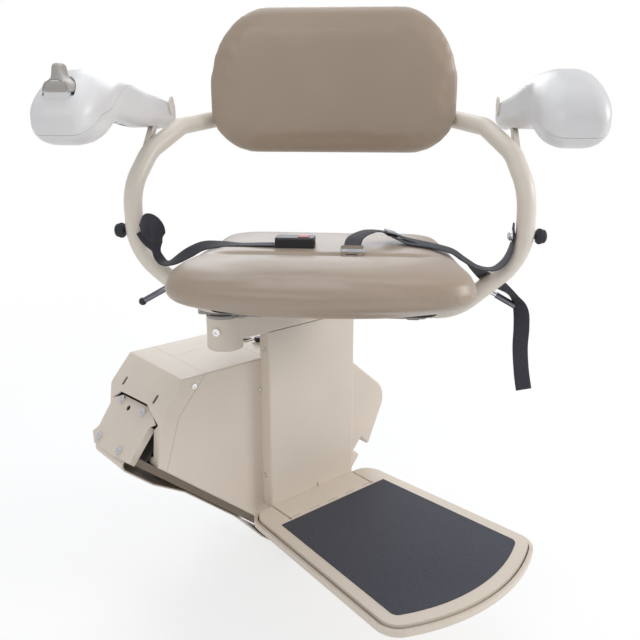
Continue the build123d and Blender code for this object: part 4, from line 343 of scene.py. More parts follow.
def woven(name, base):
    """Seat-belt webbing on its own UV in metres: ribs along, fine picks across."""
    finish = Finish(name)
    uv = finish.node("ShaderNodeUVMap", {"uv_map": "cloth"}).outputs[0]
    split = finish.node("ShaderNodeSeparateXYZ", {}, {0: uv})
    across = Number(finish, split.outputs[0])
    along = Number(finish, split.outputs[1])
    rib = (across * (2 * math.pi / 0.0019)).math("SINE")
    pick = (along * (2 * math.pi / 0.0011) + rib * 1.2).math("SINE")
    lint = finish.noise(300.0, 4.0, 0.7)
    wear = finish.noise(24.0, 4.0)
    weave = rib * 0.35 + pick * 0.25 + 0.5
    # painted shade and painted highlight: the tone follows the weave's relief, darker in its valleys and
    # lighter on its ribs
    tone = finish.mix(weave.above(0.5, 0.4), shade(base, 0.55), shade(base, 1.5))
    tone = finish.mix(lint.above(0.62, 0.08) * 0.25, tone, shade(base, 2.6))
    return finish.surface(
        Base_Color=tone,
        Roughness=wear * 0.15 + 0.6,
        Normal=finish.bump(weave, 0.0004, 0.8),
        Sheen_Weight=0.12,
        Sheen_Roughness=0.45,
    )


def gritty_rubber(name, base):
    """Safety mat: dark rubber with pale mineral specks and a rough face."""
    finish = Finish(name)
    grit = finish.noise(640.0, 3.0, 0.7)
    speck = finish.cells(520.0).above(0.17, 0.06)
    second = finish.cells(900.0).above(0.14, 0.05)
    foot = finish.noise(8.0, 4.0)
    tone = finish.mix(grit.above(0.5, 0.2), shade(base, 0.75), shade(base, 1.25))
    tone = finish.mix((1.0 - speck) * 0.42, tone, shade(base, 5.5))
    tone = finish.mix((1.0 - second) * 0.3, tone, shade(base, 0.25))
    return finish.surface(
        Base_Color=tone,
        Roughness=foot * 0.12 + 0.62,
        Normal=finish.bump(grit * 0.6 - speck * 0.4, 0.0009, 0.7),
    )


def rubbery(name, base, rough=0.6):
    """Plain moulded rubber or soft plastic."""
    finish = Finish(name)
    skin = finish.noise(900.0, 3.0)
    dust = finish.noise(40.0, 5.0, 0.65).above(0.58, 0.14)
    tone = finish.mix(dust * 0.35, shade(base, 1.0), shade(base, 2.2))
    return finish.surface(
        Base_Color=tone,
        Roughness=dust * 0.15 + rough - 0.05,
        Normal=finish.bump(skin, 0.00025, 0.45),
    )


def plated(name, base, rough=0.12):
    """Plated steel with fine hazing and rubbed patches."""
    finish = Finish(name)
    haze = finish.noise(120.0, 5.0, 0.6)
    rub = finish.noise(22.0, 4.0)
    tone = finish.mix(haze.above(0.55, 0.2), shade(base, 0.93), shade(base, 1.04))
    return finish.surface(
        Base_Color=tone,
        Metallic=1.0,
        Roughness=haze * 0.12 + rub * 0.08 + rough - 0.06,
        Normal=finish.bump(haze, 0.00006, 0.4),
    )


def brushed(name, base, rough):
    """Machined or zinc-plated steel with drawn marks."""
    finish = Finish(name)
    lines = finish.noise(60.0, 5.0, 0.7, finish.place((1, 1, 30)))
    stain = finish.noise(26.0, 5.0, 0.6)
    tone = finish.mix(lines.above(0.5, 0.2), shade(base, 0.86), shade(base, 1.08))
    tone = finish.mix(stain.above(0.62, 0.12) * 0.3, tone, shade(base, 0.6))
    return finish.surface(
        Base_Color=tone,
        Metallic=0.9,
        Roughness=lines * 0.16 + stain * 0.1 + rough - 0.1,
        Normal=finish.bump(lines, 0.00012, 0.4),
    )


def circuit_board(name):
    """Lacquered board with tracks and pads."""
    finish = Finish(name)
    tracks = finish.cells(160.0, feature="DISTANCE_TO_EDGE").above(0.06, 0.01)
    tone = finish.mix(tracks, (0.05, 0.19, 0.09, 1), (0.012, 0.075, 0.035, 1))
    return finish.surface(
        Base_Color=tone,
        Roughness=tracks * -0.15 + 0.4,
        Normal=finish.bump(tracks, 0.0001, 0.6),
    )


def studio_floor(name):
    """Pale floor that keeps its shadows but sits close to white behind the object."""
    finish = Finish(name)
    paper = finish.noise(3.0, 3.0)
    tone = finish.mix(paper, (0.90, 0.90, 0.90, 1), (0.93, 0.93, 0.93, 1))
    diffuse = finish.node("ShaderNodeBsdfDiffuse", {}, {"Color": tone})
    glow = finish.node("ShaderNodeEmission", {}, {"Color": (1, 1, 1, 1), "Strength": 1.0})
    seen = finish.node("ShaderNodeLightPath")
    plain = Number(finish, seen.outputs["Is Camera Ray"]) + Number(finish, seen.outputs["Is Glossy Ray"])
    far = finish.node("ShaderNodeVectorMath", {"operation": "LENGTH"}, {0: finish.place()})
    away = Number(finish, far.outputs["Value"]).above(1.5, 1.0)
    white = plain.clamp() * (away * 0.28 + 0.72)
    sockets = {0: white, 1: diffuse.outputs[0], 2: glow.outputs[0]}
    blend = finish.node("ShaderNodeMixShader", {}, sockets)
    finish.feed(finish.output.inputs["Surface"], blend.outputs[0])
    return finish.material


FINISHES = {}


def make_finishes(colours):
    """Every material of the chair, by the short name that its pieces ask for."""
    FINISHES.update(
        cream=powder_coat("cream_powder_coat", colours.cream),
        tube=powder_coat("tube_powder_coat", colours.tube, 0.38, 0.7),
        arm=moulded("armrest_shell", colours.arm),
        vinyl=leathercloth("taupe_vinyl", colours.vinyl),
        # painted shade: the tray's dark brown coat stands in for the shade under the housing's overhang
        brown=powder_coat("brown_tray_coat", colours.brown, 0.5),
        webbing=woven("belt_webbing", colours.webbing),
        mat=gritty_rubber("speckled_mat", colours.mat),
        paddle=moulded("toggle_grey", colours.paddle, 0.42),
        grey=powder_coat("grey_plate_coat", (0.34, 0.32, 0.29), 0.4),
        steel=brushed("chassis_steel", (0.16, 0.16, 0.165), 0.45),
        zinc=brushed("zinc_steel", (0.56, 0.56, 0.57), 0.3),
        chrome=plated("chrome", (0.86, 0.86, 0.87)),
        black=moulded("black_plastic", (0.016, 0.016, 0.019), 0.36, 1200.0),
        rubber=rubbery("black_rubber", (0.022, 0.022, 0.028)),
        board=rubbery("board_black", (0.02, 0.02, 0.022), 0.7),
        red=moulded("release_red", (0.42, 0.025, 0.02), 0.33, 1300.0),
        roller=moulded("roller_polyurethane", (0.40, 0.33, 0.16), 0.5),
        motor=powder_coat("motor_black", (0.013, 0.013, 0.015), 0.4, 1.5),
        battery=moulded("battery_case", (0.03, 0.03, 0.034), 0.5),
        grip=plated("lever_grip", (0.20, 0.20, 0.23), 0.16),
        slider=moulded("slider_grey", (0.30, 0.30, 0.34), 0.42, 1000.0),
        circuit=circuit_board("circuit_board"),
    )


# the CAD nodes that wear each finish; the cushions and straps have none, since the script redraws them
NODE_FINISH = {
    "cream": (
        "front_housing", "rear_top_panel", "upper_end_cover", "lower_end_cover", "column_cover",
        "support_column", "seat_arm", "footrest_plate", "footrest_pan", "footrest_bracket",
        "upper_sensor_plate", "lower_sensor_plate", "bottom_pan", "switch_block",
    ),
    # painted shade: the tray wears the dark brown that stands in for the shade under the housing's overhang
    "brown": ("base_tray",),
    "tube": ("left_side_tube", "right_side_tube", "back_tube", "arm_brackets"),
    "grey": ("seat_base", "index_plate", "backrest_bracket"),
    "steel": ("chassis_plate", "sensor_brackets", "safety_gear", "gearbox"),
    "zinc": ("swivel_post", "roller_axles", "footrest_pin", "swivel_latch", "drive_pinion"),
    "chrome": ("sensor_bolts", "cover_screws", "latch_tongue", "left_lever", "right_lever"),
    "arm": ("left_armrest", "right_armrest", "left_arm_underside", "right_arm_underside"),
    "paddle": ("toggle_paddle",),
    "board": ("seat_board", "backrest_board"),
    "mat": ("footrest_mat",),
    "black": ("belt_buckle", "power_switch", "breaker_button"),
    "rubber": ("belt_anchors",),
    "red": ("buckle_button",),
    "roller": ("upper_top_roller", "upper_bottom_roller", "lower_top_roller", "lower_bottom_roller"),
    "motor": ("drive_motor",),
    "battery": ("battery_pack",),
    "circuit": ("control_board",),
}


# =====================================================================
# Mesh helpers
# =====================================================================

# points closer than these are one, in metres: in a copy of a CAD mesh, and in a mesh made or cut here
WELD = 2e-5
SAME_POINT = 1e-6
SHARP_TURN = math.radians(32)


def add_mesh(name, mesh, finish, body):
    """Object at the origin whose place is in its mesh, riding on a CAD body."""
    for polygon in mesh.polygons:
        polygon.use_smooth = True
    piece = bpy.data.objects.new(name, mesh)
    bpy.context.scene.collection.objects.link(piece)
    mesh.materials.clear()
    mesh.materials.append(FINISHES[finish])
    if body:
        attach(piece, body)
    return piece


def mesh_from(name, points, faces):
    mesh = bpy.data.meshes.new(name)
    mesh.from_pydata([tuple(point) for point in points], [], faces)
    mesh.update()
    return mesh


@contextmanager
def reshaped(mesh):
    """Open a mesh for edits and put them back."""
    shape = bmesh.new()
    shape.from_mesh(mesh)
    yield shape
    shape.to_mesh(mesh)
    shape.free()


def shade_by_angle(mesh):
    """Smooth faces, with sharp edges where they turn by more than SHARP_TURN."""
    with reshaped(mesh) as shape:
        for edge in shape.edges:
            edge.smooth = len(edge.link_faces) == 2 and edge.calc_face_angle(0) < SHARP_TURN
        for face in shape.faces:
            face.smooth = True


def weld_copy(node, name):
    """A free copy of a CAD node's mesh with its loose triangles merged."""
    mesh = NODES[node].data.copy()
    mesh.name = name
    with reshaped(mesh) as shape:
        bmesh.ops.remove_doubles(shape, verts=shape.verts, dist=WELD)
    return mesh


def smooth_line(points, per_span):
    """Even Catmull-Rom line through vectors of any length."""
    ends = [points[0] * 2 - points[1], *points, points[-1] * 2 - points[-2]]
    line = []
    for a, b, c, d in zip(ends, ends[1:], ends[2:], ends[3:]):
        for step in range(per_span):
            t = step / per_span
            line.append(
                0.5 * (b * 2 + (c - a) * t + (a * 2 - b * 5 + c * 4 - d) * t * t
                       + (b * 3 - a - c * 3 + d) * t * t * t)
            )
    line.append(points[-1])
    return line


def ring_faces(count, rings):
    """Faces between rings of equal count, with a fan at each end."""
    faces = [
        (r * count + i, r * count + (i + 1) % count, (r + 1) * count + (i + 1) % count, (r + 1) * count + i)
        for r in range(rings - 1)
        for i in range(count)
    ]
    return [*faces, tuple(range(count))[::-1], tuple(range((rings - 1) * count, rings * count))]


def ring_solid(name, rings):
    """Closed mesh through rings of points, with its faces pointing out."""
    points = [point for ring in rings for point in ring]
    mesh = mesh_from(name, points, ring_faces(len(rings[0]), len(rings)))
    with reshaped(mesh) as shape:
        bmesh.ops.remove_doubles(shape, verts=shape.verts, dist=SAME_POINT)
        bmesh.ops.recalc_face_normals(shape, faces=shape.faces)
    mesh.update()
    return mesh


def turned(name, start, axis, profile, sides=40):
    """Closed solid turned about an axis from (distance along it, radius) pairs."""
    axis = axis.normalized()
    across = axis.orthogonal().normalized()
    other = axis.cross(across)
    rings = []
    for along, radius in profile:
        ring = []
        for i in range(sides):
            angle = 2 * math.pi * i / sides
            ring.append(start + axis * along + (across * math.cos(angle) + other * math.sin(angle)) * radius)
        rings.append(ring)
    return ring_solid(name, rings)


def flatten_modifiers(piece):
    """Put what the modifiers make into the mesh and take them off."""
    graph = bpy.context.evaluated_depsgraph_get()
    made = bpy.data.meshes.new_from_object(piece.evaluated_get(graph))
    old = piece.data
    piece.modifiers.clear()
    piece.data = made
    bpy.data.meshes.remove(old)


# =====================================================================
# Padded vinyl
# =====================================================================

# how far the seam lies above the seat pad's bottom, and before the backrest's board, in metres
SEAT_SEAM = 0.006
BACK_SEAM = 0.004
CLOTH_FRAMES = 20
# the crease behind the seat's front roll, and the roll's crown before it, in mm
ROLL_LINE = -118
CREASE_WIDTH = 9
CREASE_DEPTH = 5.0
CROWN_LINE = ROLL_LINE - 48
CROWN_WIDTH = 30
CROWN_HEIGHT = 1.6
# off the seat's middle, the crease is gone at the first and starts to fade so far before it, in mm
CREASE_END = 190
CREASE_FADE = 70
# only this much of the pad below its top is pressed, in metres
PRESSED_DEPTH = 0.02


def hump(distance, width):
    """1 on a line, falling off smoothly on both sides."""
    return math.exp(-((distance / width) ** 2))


def press_roll(mesh):
    """Press the crease behind the seat's front roll into the top of the pad."""
    top = max(vertex.co.z for vertex in mesh.vertices)
    for vertex in mesh.vertices:
        if vertex.co.z < top - PRESSED_DEPTH:
            continue
        u, v = seat_place(vertex.co)
        fade = min(1.0, max(0.0, (CREASE_END - abs(u)) / CREASE_FADE))
        crown = hump(v - CROWN_LINE, CROWN_WIDTH) * CROWN_HEIGHT
        crease = hump(v - ROLL_LINE, CREASE_WIDTH) * CREASE_DEPTH
        vertex.co.z += (crown - crease) * fade * fade * (3 - 2 * fade) * MM


def blow_up(piece, still, sizes):
    """Start a cover a little small, put it under pressure as cloth and keep what moves outwards."""
    mesh = piece.data
    normals = [vertex.normal.copy() for vertex in mesh.vertices]
    for vertex, normal in zip(mesh.vertices, normals):
        vertex.co = vertex.co - normal * sizes.pad_inset
    start = [vertex.co.copy() for vertex in mesh.vertices]
    held = piece.vertex_groups.new(name="held")
    held.add(still, 1.0, "REPLACE")
    cloth = piece.modifiers.new("cloth", "CLOTH")
    cloth.settings.quality = 6
    cloth.settings.mass = 0.3
    cloth.settings.tension_stiffness = 25
    cloth.settings.compression_stiffness = 25
    cloth.settings.bending_stiffness = 2
    cloth.settings.use_pressure = True
    cloth.settings.uniform_pressure_force = 4
    cloth.settings.vertex_group_mass = held.name
    cloth.settings.effector_weights.gravity = 0
    cloth.point_cache.frame_start = 1
    cloth.point_cache.frame_end = CLOTH_FRAMES
    for step in range(1, CLOTH_FRAMES + 1):
        bpy.context.scene.frame_set(step)
    graph = bpy.context.evaluated_depsgraph_get()
    blown = piece.evaluated_get(graph).to_mesh()
    moved = [vertex.co.copy() for vertex in blown.vertices]
    piece.evaluated_get(graph).to_mesh_clear()
    piece.modifiers.clear()
    bpy.context.scene.frame_set(1)
    for vertex, normal, before, after in zip(mesh.vertices, normals, start, moved):
        puff = max(0.0, (after - before).dot(normal))
        vertex.co = before + normal * min(puff, sizes.pad_swell)


def soften(piece, name, times):
    """Add a Smooth modifier."""
    smooth = piece.modifiers.new(name, "SMOOTH")
    smooth.factor = 0.5
    smooth.iterations = times


def stuffed(node, name, body, direction, seam):
    """Padded cover grown from a CAD pad; what lies before the seam, along a direction, stays put."""
    sizes = bpy.context.scene.chair_sizes
    piece = add_mesh(name, weld_copy(node, name), "vinyl", None)
    remesh = piece.modifiers.new("grain", "REMESH")
    remesh.mode = "VOXEL"
    remesh.voxel_size = sizes.pad_voxel
    soften(piece, "soften", 9)
    flatten_modifiers(piece)
    still = [vertex.index for vertex in piece.data.vertices if vertex.co.dot(direction) < seam]
    blow_up(piece, still, sizes)
    soften(piece, "ease", 4)
    rounded = piece.modifiers.new("round", "SUBSURF")
    rounded.levels = rounded.render_levels = 1
    flatten_modifiers(piece)
    if node == "seat_cushion":
        press_roll(piece.data)
    for polygon in piece.data.polygons:
        polygon.use_smooth = True
    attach(piece, body)
    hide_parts(node)
    return piece


# =====================================================================
# Lap belt
# =====================================================================

# middle of the webbing in mm (u, v, z), then the direction of its width; the direction's length is the
# share of the full width that is drawn there
TONGUE_STRAP = (
    ((42.4, -107.0, 481.4), (1, 0, 0)),
    ((42.7, -100.4, 484.4), (1, 0, 0)),
    ((47, -76, 492), (1, -0.15, 0)),
    ((68, -44, 496), (0.75, -0.66, 0)),
    ((98, -26, 490), (0.3, -0.95, 0)),
    ((126, -28, 481), (0, -1, 0)),
    ((159, -44, 476.5), (-0.35, -0.93, 0)),
    ((188, -59, 471.5), (-0.35, -0.93, 0)),
    ((208, -68, 460), (-0.3, -0.95, 0)),
    ((228, -76, 450), (-0.2, -0.98, 0)),
    ((252, -76, 448), (0.1, -0.99, 0)),
    ((270, -63, 459), (0.1, -0.99, 0)),
    ((280.4, -47, 479), (0, -1, 0)),
    ((281.4, -46, 500), (0, -0.75, 0)),
    ((281.6, -46, 512), (0, -0.25, 0)),
)
BUCKLE_STRAP = (
    ((-67.5, -70, 478.3), (0, 1, 0)),
    ((-80, -70, 478.3), (0, 1, 0)),
    ((-100, -68, 477.5), (0, 1, 0)),
    ((-132, -64, 476), (0.1, 1, 0)),
    ((-162, -62, 475.5), (0, 0.98, 0.2)),
    ((-188, -64, 473.0), (-0.1, 0.9, 0.42)),
    ((-208, -70, 464), (-0.2, 0.82, 0.52)),
    ((-228, -76, 453), (-0.2, 0.9, 0.35)),
    ((-247, -72, 447), (0.1, 0.85, 0.1)),
    ((-258, -65, 454), (0.2, 0.55, 0.3)),
    ((-262.5, -62, 464), (0.25, 0.2, 0.45)),
    ((-260.7, -63, 476.3), (0.29, 0, 0.70)),
    ((-259.4, -67, 487.3), (0.42, 0, 1.12)),
    ((-262.6, -71, 498.6), (0.38, 0, 1.33)),
    ((-268.6, -72, 506.7), (0.32, 0, 1.33)),
    ((-276.4, -70, 504.0), (0.29, 0, 0.95)),
    ((-283.6, -66.5, 498.2), (0.26, 0, 0.62)),
)
# the layer behind, seen through the fold
TAB_LINING = (
    ((-285.0, -65.0, 494.0), (0.3, 0, 0.5)),
    ((-279.7, -62.5, 484.0), (0.4, 0, 0.5)),
    ((-274.8, -60.5, 476.0), (0.4, 0, 0.45)),
    ((-269.1, -60.0, 470.0), (0.4, 0, 0.35)),
    ((-264.0, -60.5, 463.0), (0.3, 0, 0.2)),
)
# loose end: from the slider over the cushion's edge, across the lever's grip and down
BELT_TAIL = (
    ((101, -40, 487), (0.3, -0.95, 0)),
    ((126, -44, 478.8), (0, -1, 0)),
    ((159, -58, 477.2), (-0.35, -0.93, 0)),
    ((190, -70, 471.5), (-0.3, -0.95, 0)),
    ((212, -72, 457), (-0.1, -0.99, 0.1)),
    ((233, -52, 439), (0.1, -0.9, 0.45)),
    ((256, -26, 419), (0.1, -0.7, 0.7)),
    ((279, -8, 402), (0.2, -0.8, 0.55)),
    ((300, 2, 384), (0.5, -0.8, 0.1)),
    ((311, 0, 362), (0.9, -0.4, 0)),
    ((313, -6, 335), (1, -0.1, 0.02)),
    ((314, -4, 300), (1, 0.05, -0.02)),
    ((318, -8, 262), (1, 0.1, -0.08)),
    ((325, -4, 228), (1, 0.05, -0.2)),
)


# half of the webbing's section, as shares of its half width and half thickness
EDGE = ((-1, 0), (-0.96, 0.8), (-0.86, 1), (-0.5, 1), (0, 1), (0.5, 1), (0.86, 1), (0.96, 0.8))
WEB_SECTION = (*EDGE, *[(-x, -y) for x, y in EDGE])
WEB_STEPS = 10


def webbing_line(stations):
    """Middle of a strap and the direction of its width, in even steps."""
    middles = smooth_line([seat_point(*place) for place, width in stations], WEB_STEPS)
    widths = [SEAT_X * width[0] + SEAT_Y * width[1] + UP * width[2] for place, width in stations]
    return middles, smooth_line(widths, WEB_STEPS)


def ribbon(name, stations):
    """Flat strap with soft edges and a UV in metres."""
    sizes = bpy.context.scene.chair_sizes
    half = sizes.web_width / 2
    thick = sizes.web_thickness / 2
    middles, widths = webbing_line(stations)
    rings = []
    run = [0.0]
    for i, middle in enumerate(middles):
        ahead = middles[min(i + 1, len(middles) - 1)] - middles[max(i - 1, 0)]
        ahead.normalize()
        across = widths[i] - ahead * widths[i].dot(ahead)
        reach = widths[i].length
        across.normalize()
        normal = ahead.cross(across)
        rings.append([middle + across * x * half * reach + normal * y * thick for x, y in WEB_SECTION])
        if i:
            run.append(run[-1] + (middle - middles[i - 1]).length)
    count = len(WEB_SECTION)
    mesh = mesh_from(name, [point for ring in rings for point in ring], ring_faces(count, len(rings)))
    uv = mesh.uv_layers.new(name="cloth")
    for loop in mesh.loops:
        ring, corner = divmod(loop.vertex_index, count)
        uv.data[loop.index].uv = (WEB_SECTION[corner][0] * half, run[ring])
    with reshaped(mesh) as shape:
        bmesh.ops.recalc_face_normals(shape, faces=shape.faces)
    return mesh


class Pattern(Nodes):
    """A Geometry Nodes tree with named inputs that repeats a small round-ended bead."""

    def __init__(self, name, inputs):
        super().__init__(bpy.data.node_groups.new(name, "GeometryNodeTree"))
        self.tree.interface.new_socket("Geometry", in_out="OUTPUT", socket_type="NodeSocketGeometry")
        for label, kind in {**inputs, "Finish": "Material"}.items():
            self.tree.interface.new_socket(label, in_out="INPUT", socket_type=f"NodeSocket{kind}")
        self.given = self.node("NodeGroupInput").outputs

    def beads(self, points, thick, long, segments, rings, turn=(0, 0, 0)):
        """A bead on every point, with its half thickness, half length and turn."""
        counts = {"Segments": segments, "Rings": rings, "Radius": 1.0}
        bead = self.node("GeometryNodeMeshUVSphere", {}, counts).outputs["Mesh"]
        size = self.node("ShaderNodeCombineXYZ", {}, {"X": thick, "Y": thick, "Z": long}).outputs[0]
        sockets = {"Points": points, "Instance": bead, "Rotation": turn, "Scale": size}
        return self.node("GeometryNodeInstanceOnPoints", {}, sockets).outputs[0]

    def finished(self, geometry):
        """Turn instances into plain geometry and give it its finish."""
        real = self.node("GeometryNodeRealizeInstances", {}, {0: geometry})
        sockets = {"Geometry": real.outputs[0], "Material": self.given["Finish"]}
        return self.node("GeometryNodeSetMaterial", {}, sockets).outputs[0]

    def hand_out(self, geometry):
        """Link what the tree makes to its output."""
        self.node("NodeGroupOutput", {}, {0: geometry})
        return self.tree


def stitch_tree():
    """Geometry nodes: one short thread every stitch length along a curve."""
    inputs = {"Path": "Geometry", "Pitch": "Float", "Thread": "Float", "Reach": "Float"}
    stitches = Pattern("belt_stitches", inputs)
    given = stitches.given
    sockets = {"Curve": given["Path"], "Length": given["Pitch"]}
    points = stitches.node("GeometryNodeCurveToPoints", {"mode": "LENGTH"}, sockets).outputs
    row = stitches.beads(points["Points"], given["Thread"], given["Reach"], 6, 4, points["Rotation"])
    return stitches.hand_out(stitches.finished(row))


def rib_tree():
    """Geometry nodes: upright ribs set round a turned knob."""
    inputs = {
        "Knob": "Geometry", "Count": "Int", "Radius": "Float", "Rib": "Float", "Length": "Float",
        "Centre": "Vector", "Turn": "Vector",
    }
    ribs = Pattern("grip_ribs", inputs)
    given = ribs.given
    sockets = {"Vertices": given["Count"], "Radius": given["Radius"]}
    circle = ribs.node("GeometryNodeMeshCircle", {}, sockets)
    crown = ribs.beads(circle.outputs["Mesh"], given["Rib"], given["Length"], 8, 8)
    sockets = {"Geometry": crown, "Translation": given["Centre"], "Rotation": given["Turn"]}
    placed = ribs.node("GeometryNodeTransform", {}, sockets)
    join = ribs.node("GeometryNodeJoinGeometry", {}, {0: placed.outputs[0]})
    ribs.feed(join.inputs[0], given["Knob"])
    painted = ribs.finished(join.outputs[0])
    return ribs.hand_out(ribs.node("GeometryNodeSetShadeSmooth", {}, {"Geometry": painted}).outputs[0])


def run_tree(name, tree, carrier, values, finish, body):
    """Run a node tree on a carrier's data and keep what it makes as a plain mesh."""
    holder = bpy.data.objects.new(name + "_path", carrier)
    bpy.context.scene.collection.objects.link(holder)
    modifier = holder.modifiers.new("nodes", "NODES")
    modifier.node_group = tree
    keys = {item.name: item.identifier for item in tree.interface.items_tree if item.in_out == "INPUT"}
    for label, value in {**values, "Finish": FINISHES[finish]}.items():
        modifier[keys[label]] = value
    graph = bpy.context.evaluated_depsgraph_get()
    mesh = bpy.data.meshes.new_from_object(holder.evaluated_get(graph))
    mesh.name = name
    bpy.data.objects.remove(holder)
    piece = bpy.data.objects.new(name, mesh)
    bpy.context.scene.collection.objects.link(piece)
    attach(piece, body)


def curve_through(name, points):
    """Open line through points, as a curve."""
    curve = bpy.data.curves.new(name, "CURVE")
    curve.dimensions = "3D"
    spline = curve.splines.new("POLY")
    spline.points.add(len(points) - 1)
    for target, point in zip(spline.points, points):
        target.co = (*point, 1.0)
    return curve


# =====================================================================
# Operators, one for each piece or group
# =====================================================================


class CHAIR_OT_finishes(bpy.types.Operator):
    """Make the finishes and put them on the CAD nodes"""

    bl_idname = "chair.finishes"
    bl_label = "Finishes"

    def execute(self, context):
        make_finishes(context.scene.chair_colours)
        for finish, names in NODE_FINISH.items():
            for name in names:
                mesh = NODES[name].data
                mesh.materials.clear()
                mesh.materials.append(FINISHES[finish])
        return {"FINISHED"}


class CHAIR_OT_upholstery(bpy.types.Operator):
    """Stuff the seat and the backrest"""

    bl_idname = "chair.upholstery"
    bl_label = "Upholstery"

    def execute(self, context):
        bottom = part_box("seat_cushion")[0].z
        stuffed("seat_cushion", "seat_pad", "flip_seat", UP, bottom + SEAT_SEAM)
        board = NODES["backrest_board"].data.vertices
        front = min(vertex.co.dot(SEAT_Y) for vertex in board)
        stuffed("backrest_cushion", "back_pad", "swivel_frame", -SEAT_Y, BACK_SEAM - front)
        return {"FINISHED"}


# along an armrest (v mm): share of its half width and of its depth that is left there
ARM_WAIST = (
    (-225, 1.0, 1.0), (-205, 0.99, 0.98), (-185, 0.97, 0.935), (-165, 0.95, 0.885), (-145, 0.935, 0.85),
    (-125, 0.935, 0.84), (-95, 0.955, 0.88), (-60, 0.985, 0.95), (-25, 1.0, 1.0),
)
WAIST_FRONT = ARM_WAIST[0][0]
WAIST_REAR = ARM_WAIST[-1][0]
ARM_MIDDLE = 304.0
SLICE_PITCH = 10
# the narrowing grows from nothing at the roof to full this far below it, in metres
ROOF_FADE = 0.04


def slice_across(mesh, first, last, pitch):
    """Cut rings of edges into a mesh, square to the seat's depth, every pitch mm."""
    with reshaped(mesh) as shape:
        for v in range(first, last + 1, pitch):
            everything = [*shape.verts, *shape.edges, *shape.faces]
            cut_at = POST + SEAT_Y * v * MM
            bmesh.ops.bisect_plane(
                shape, geom=everything, dist=SAME_POINT, plane_co=cut_at, plane_no=SEAT_Y
            )


def between(table, place):
    """Shares at a place, drawn evenly from one row of a table to the next."""
    place = min(max(place, table[0][0]), table[-1][0])
    for row, following in zip(table, table[1:]):
        if place <= following[0]:
            t = (place - row[0]) / (following[0] - row[0])
            return [a + (b - a) * t for a, b in zip(row[1:], following[1:])]
    return table[-1][1:]


class CHAIR_OT_armrests(bpy.types.Operator):
    """Draw the armrests in behind their pods"""

    bl_idname = "chair.armrests"
    bl_label = "Armrests"

    def execute(self, context):
        for side, label in ((LEFT, "left"), (RIGHT, "right")):
            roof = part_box(f"{label}_armrest")[1].z
            for node in (f"{label}_armrest", f"{label}_arm_underside"):
                mesh = weld_copy(node, node + "_moulding")
                slice_across(mesh, WAIST_FRONT, WAIST_REAR, SLICE_PITCH)
                for vertex in mesh.vertices:
                    u, v = seat_place(vertex.co)
                    if v < WAIST_FRONT or v > WAIST_REAR:
                        continue
                    width, depth = between(ARM_WAIST, v)
                    drop = roof - vertex.co.z
                    slide = (u - side * ARM_MIDDLE) * (width - 1) * min(1.0, drop / ROOF_FADE) * MM
                    vertex.co = vertex.co + SEAT_X * slide + UP * drop * (1 - depth)
                piece = add_mesh(mesh.name, mesh, "arm", f"{label}_arm")
                shade_by_angle(piece.data)
                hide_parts(node)
        return {"FINISHED"}


# height above the toggle's axis, half width, half length and pinch of its section, in mm
TOGGLE_SECTIONS = (
    (1.5, 18.8, 18.4, 0.0), (5.0, 18.3, 18.4, 0.0), (9.0, 16.9, 18.4, 0.0), (12.5, 14.8, 18.0, 0.05),
    (14.5, 12.2, 16.5, 0.14), (17.0, 9.0, 14.8, 0.24), (20.0, 8.2, 14.0, 0.34), (23.5, 7.5, 13.8, 0.40),
    (27.0, 7.0, 13.4, 0.38), (30.0, 6.5, 12.6, 0.30), (32.0, 5.7, 11.2, 0.20), (33.4, 4.2, 9.0, 0.10),
    (34.1, 2.2, 6.0, 0.0),
)
TOGGLE_SIDES = 56
# power of the cosine in a section's outline: under 1 it's squarer, and the skirt is the squarest
SKIRT_TOP = 14
SKIRT_POWER = 0.36
STEM_POWER = 0.55
# the dome that the skirt straddles, with its clearance, in metres
DOME_RADIUS = 0.0155
DOME_HALF = 0.0177


def powered(value, power):
    """Power of a value's size, with its sign kept."""
    return math.copysign(abs(value) ** power, value)


class CHAIR_OT_toggle(bpy.types.Operator):
    """Carve the toggle: a flared saddle with a dish for the thumb on each side"""

    bl_idname = "chair.toggle"
    bl_label = "Toggle"

    def execute(self, context):
        axis = Vector(JOINTS["paddle_tilt"]["pos_m"])
        rings = []
        for height, half, reach, pinch in TOGGLE_SECTIONS:
            power = STEM_POWER if height > SKIRT_TOP else SKIRT_POWER
            ring = []
            for i in range(TOGGLE_SIDES):
                angle = 2 * math.pi * i / TOGGLE_SIDES
                x = powered(math.cos(angle), power)
                y = powered(math.sin(angle), power)
                u = half * x * (1 - pinch * (1 - y * y))
                ring.append(axis + (SEAT_X * u + SEAT_Y * reach * y + UP * height) * MM)
            rings.append(ring)
        saddle = ring_solid("toggle_saddle", rings)
        piece = add_mesh("toggle_saddle", saddle, "paddle", "paddle")
        profile = ((0.0, DOME_RADIUS), (2 * DOME_HALF, DOME_RADIUS))
        dome = turned("dome_space", axis - SEAT_Y * DOME_HALF, SEAT_Y, profile, 64)
        cutter = bpy.data.objects.new("dome_space", dome)
        context.scene.collection.objects.link(cutter)
        cut = piece.modifiers.new("dome", "BOOLEAN")
        cut.operation = "DIFFERENCE"
        cut.solver = "EXACT"
        cut.object = cutter
        flatten_modifiers(piece)
        bpy.data.objects.remove(cutter)
        shade_by_angle(piece.data)
        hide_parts("toggle_paddle")
        return {"FINISHED"}


# where the webbing starts and stops following the seat as it flips, in mm (u, v, z); the script works out
# their places but does not use them, and the webbing is not tied to the seat
FIXED_END = (276, -60, 465)
SEAT_EDGE = (205, -68, 462)
TAIL_EDGE = (208, -70, 458)
TAIL_FIXED = (300, 2, 384)


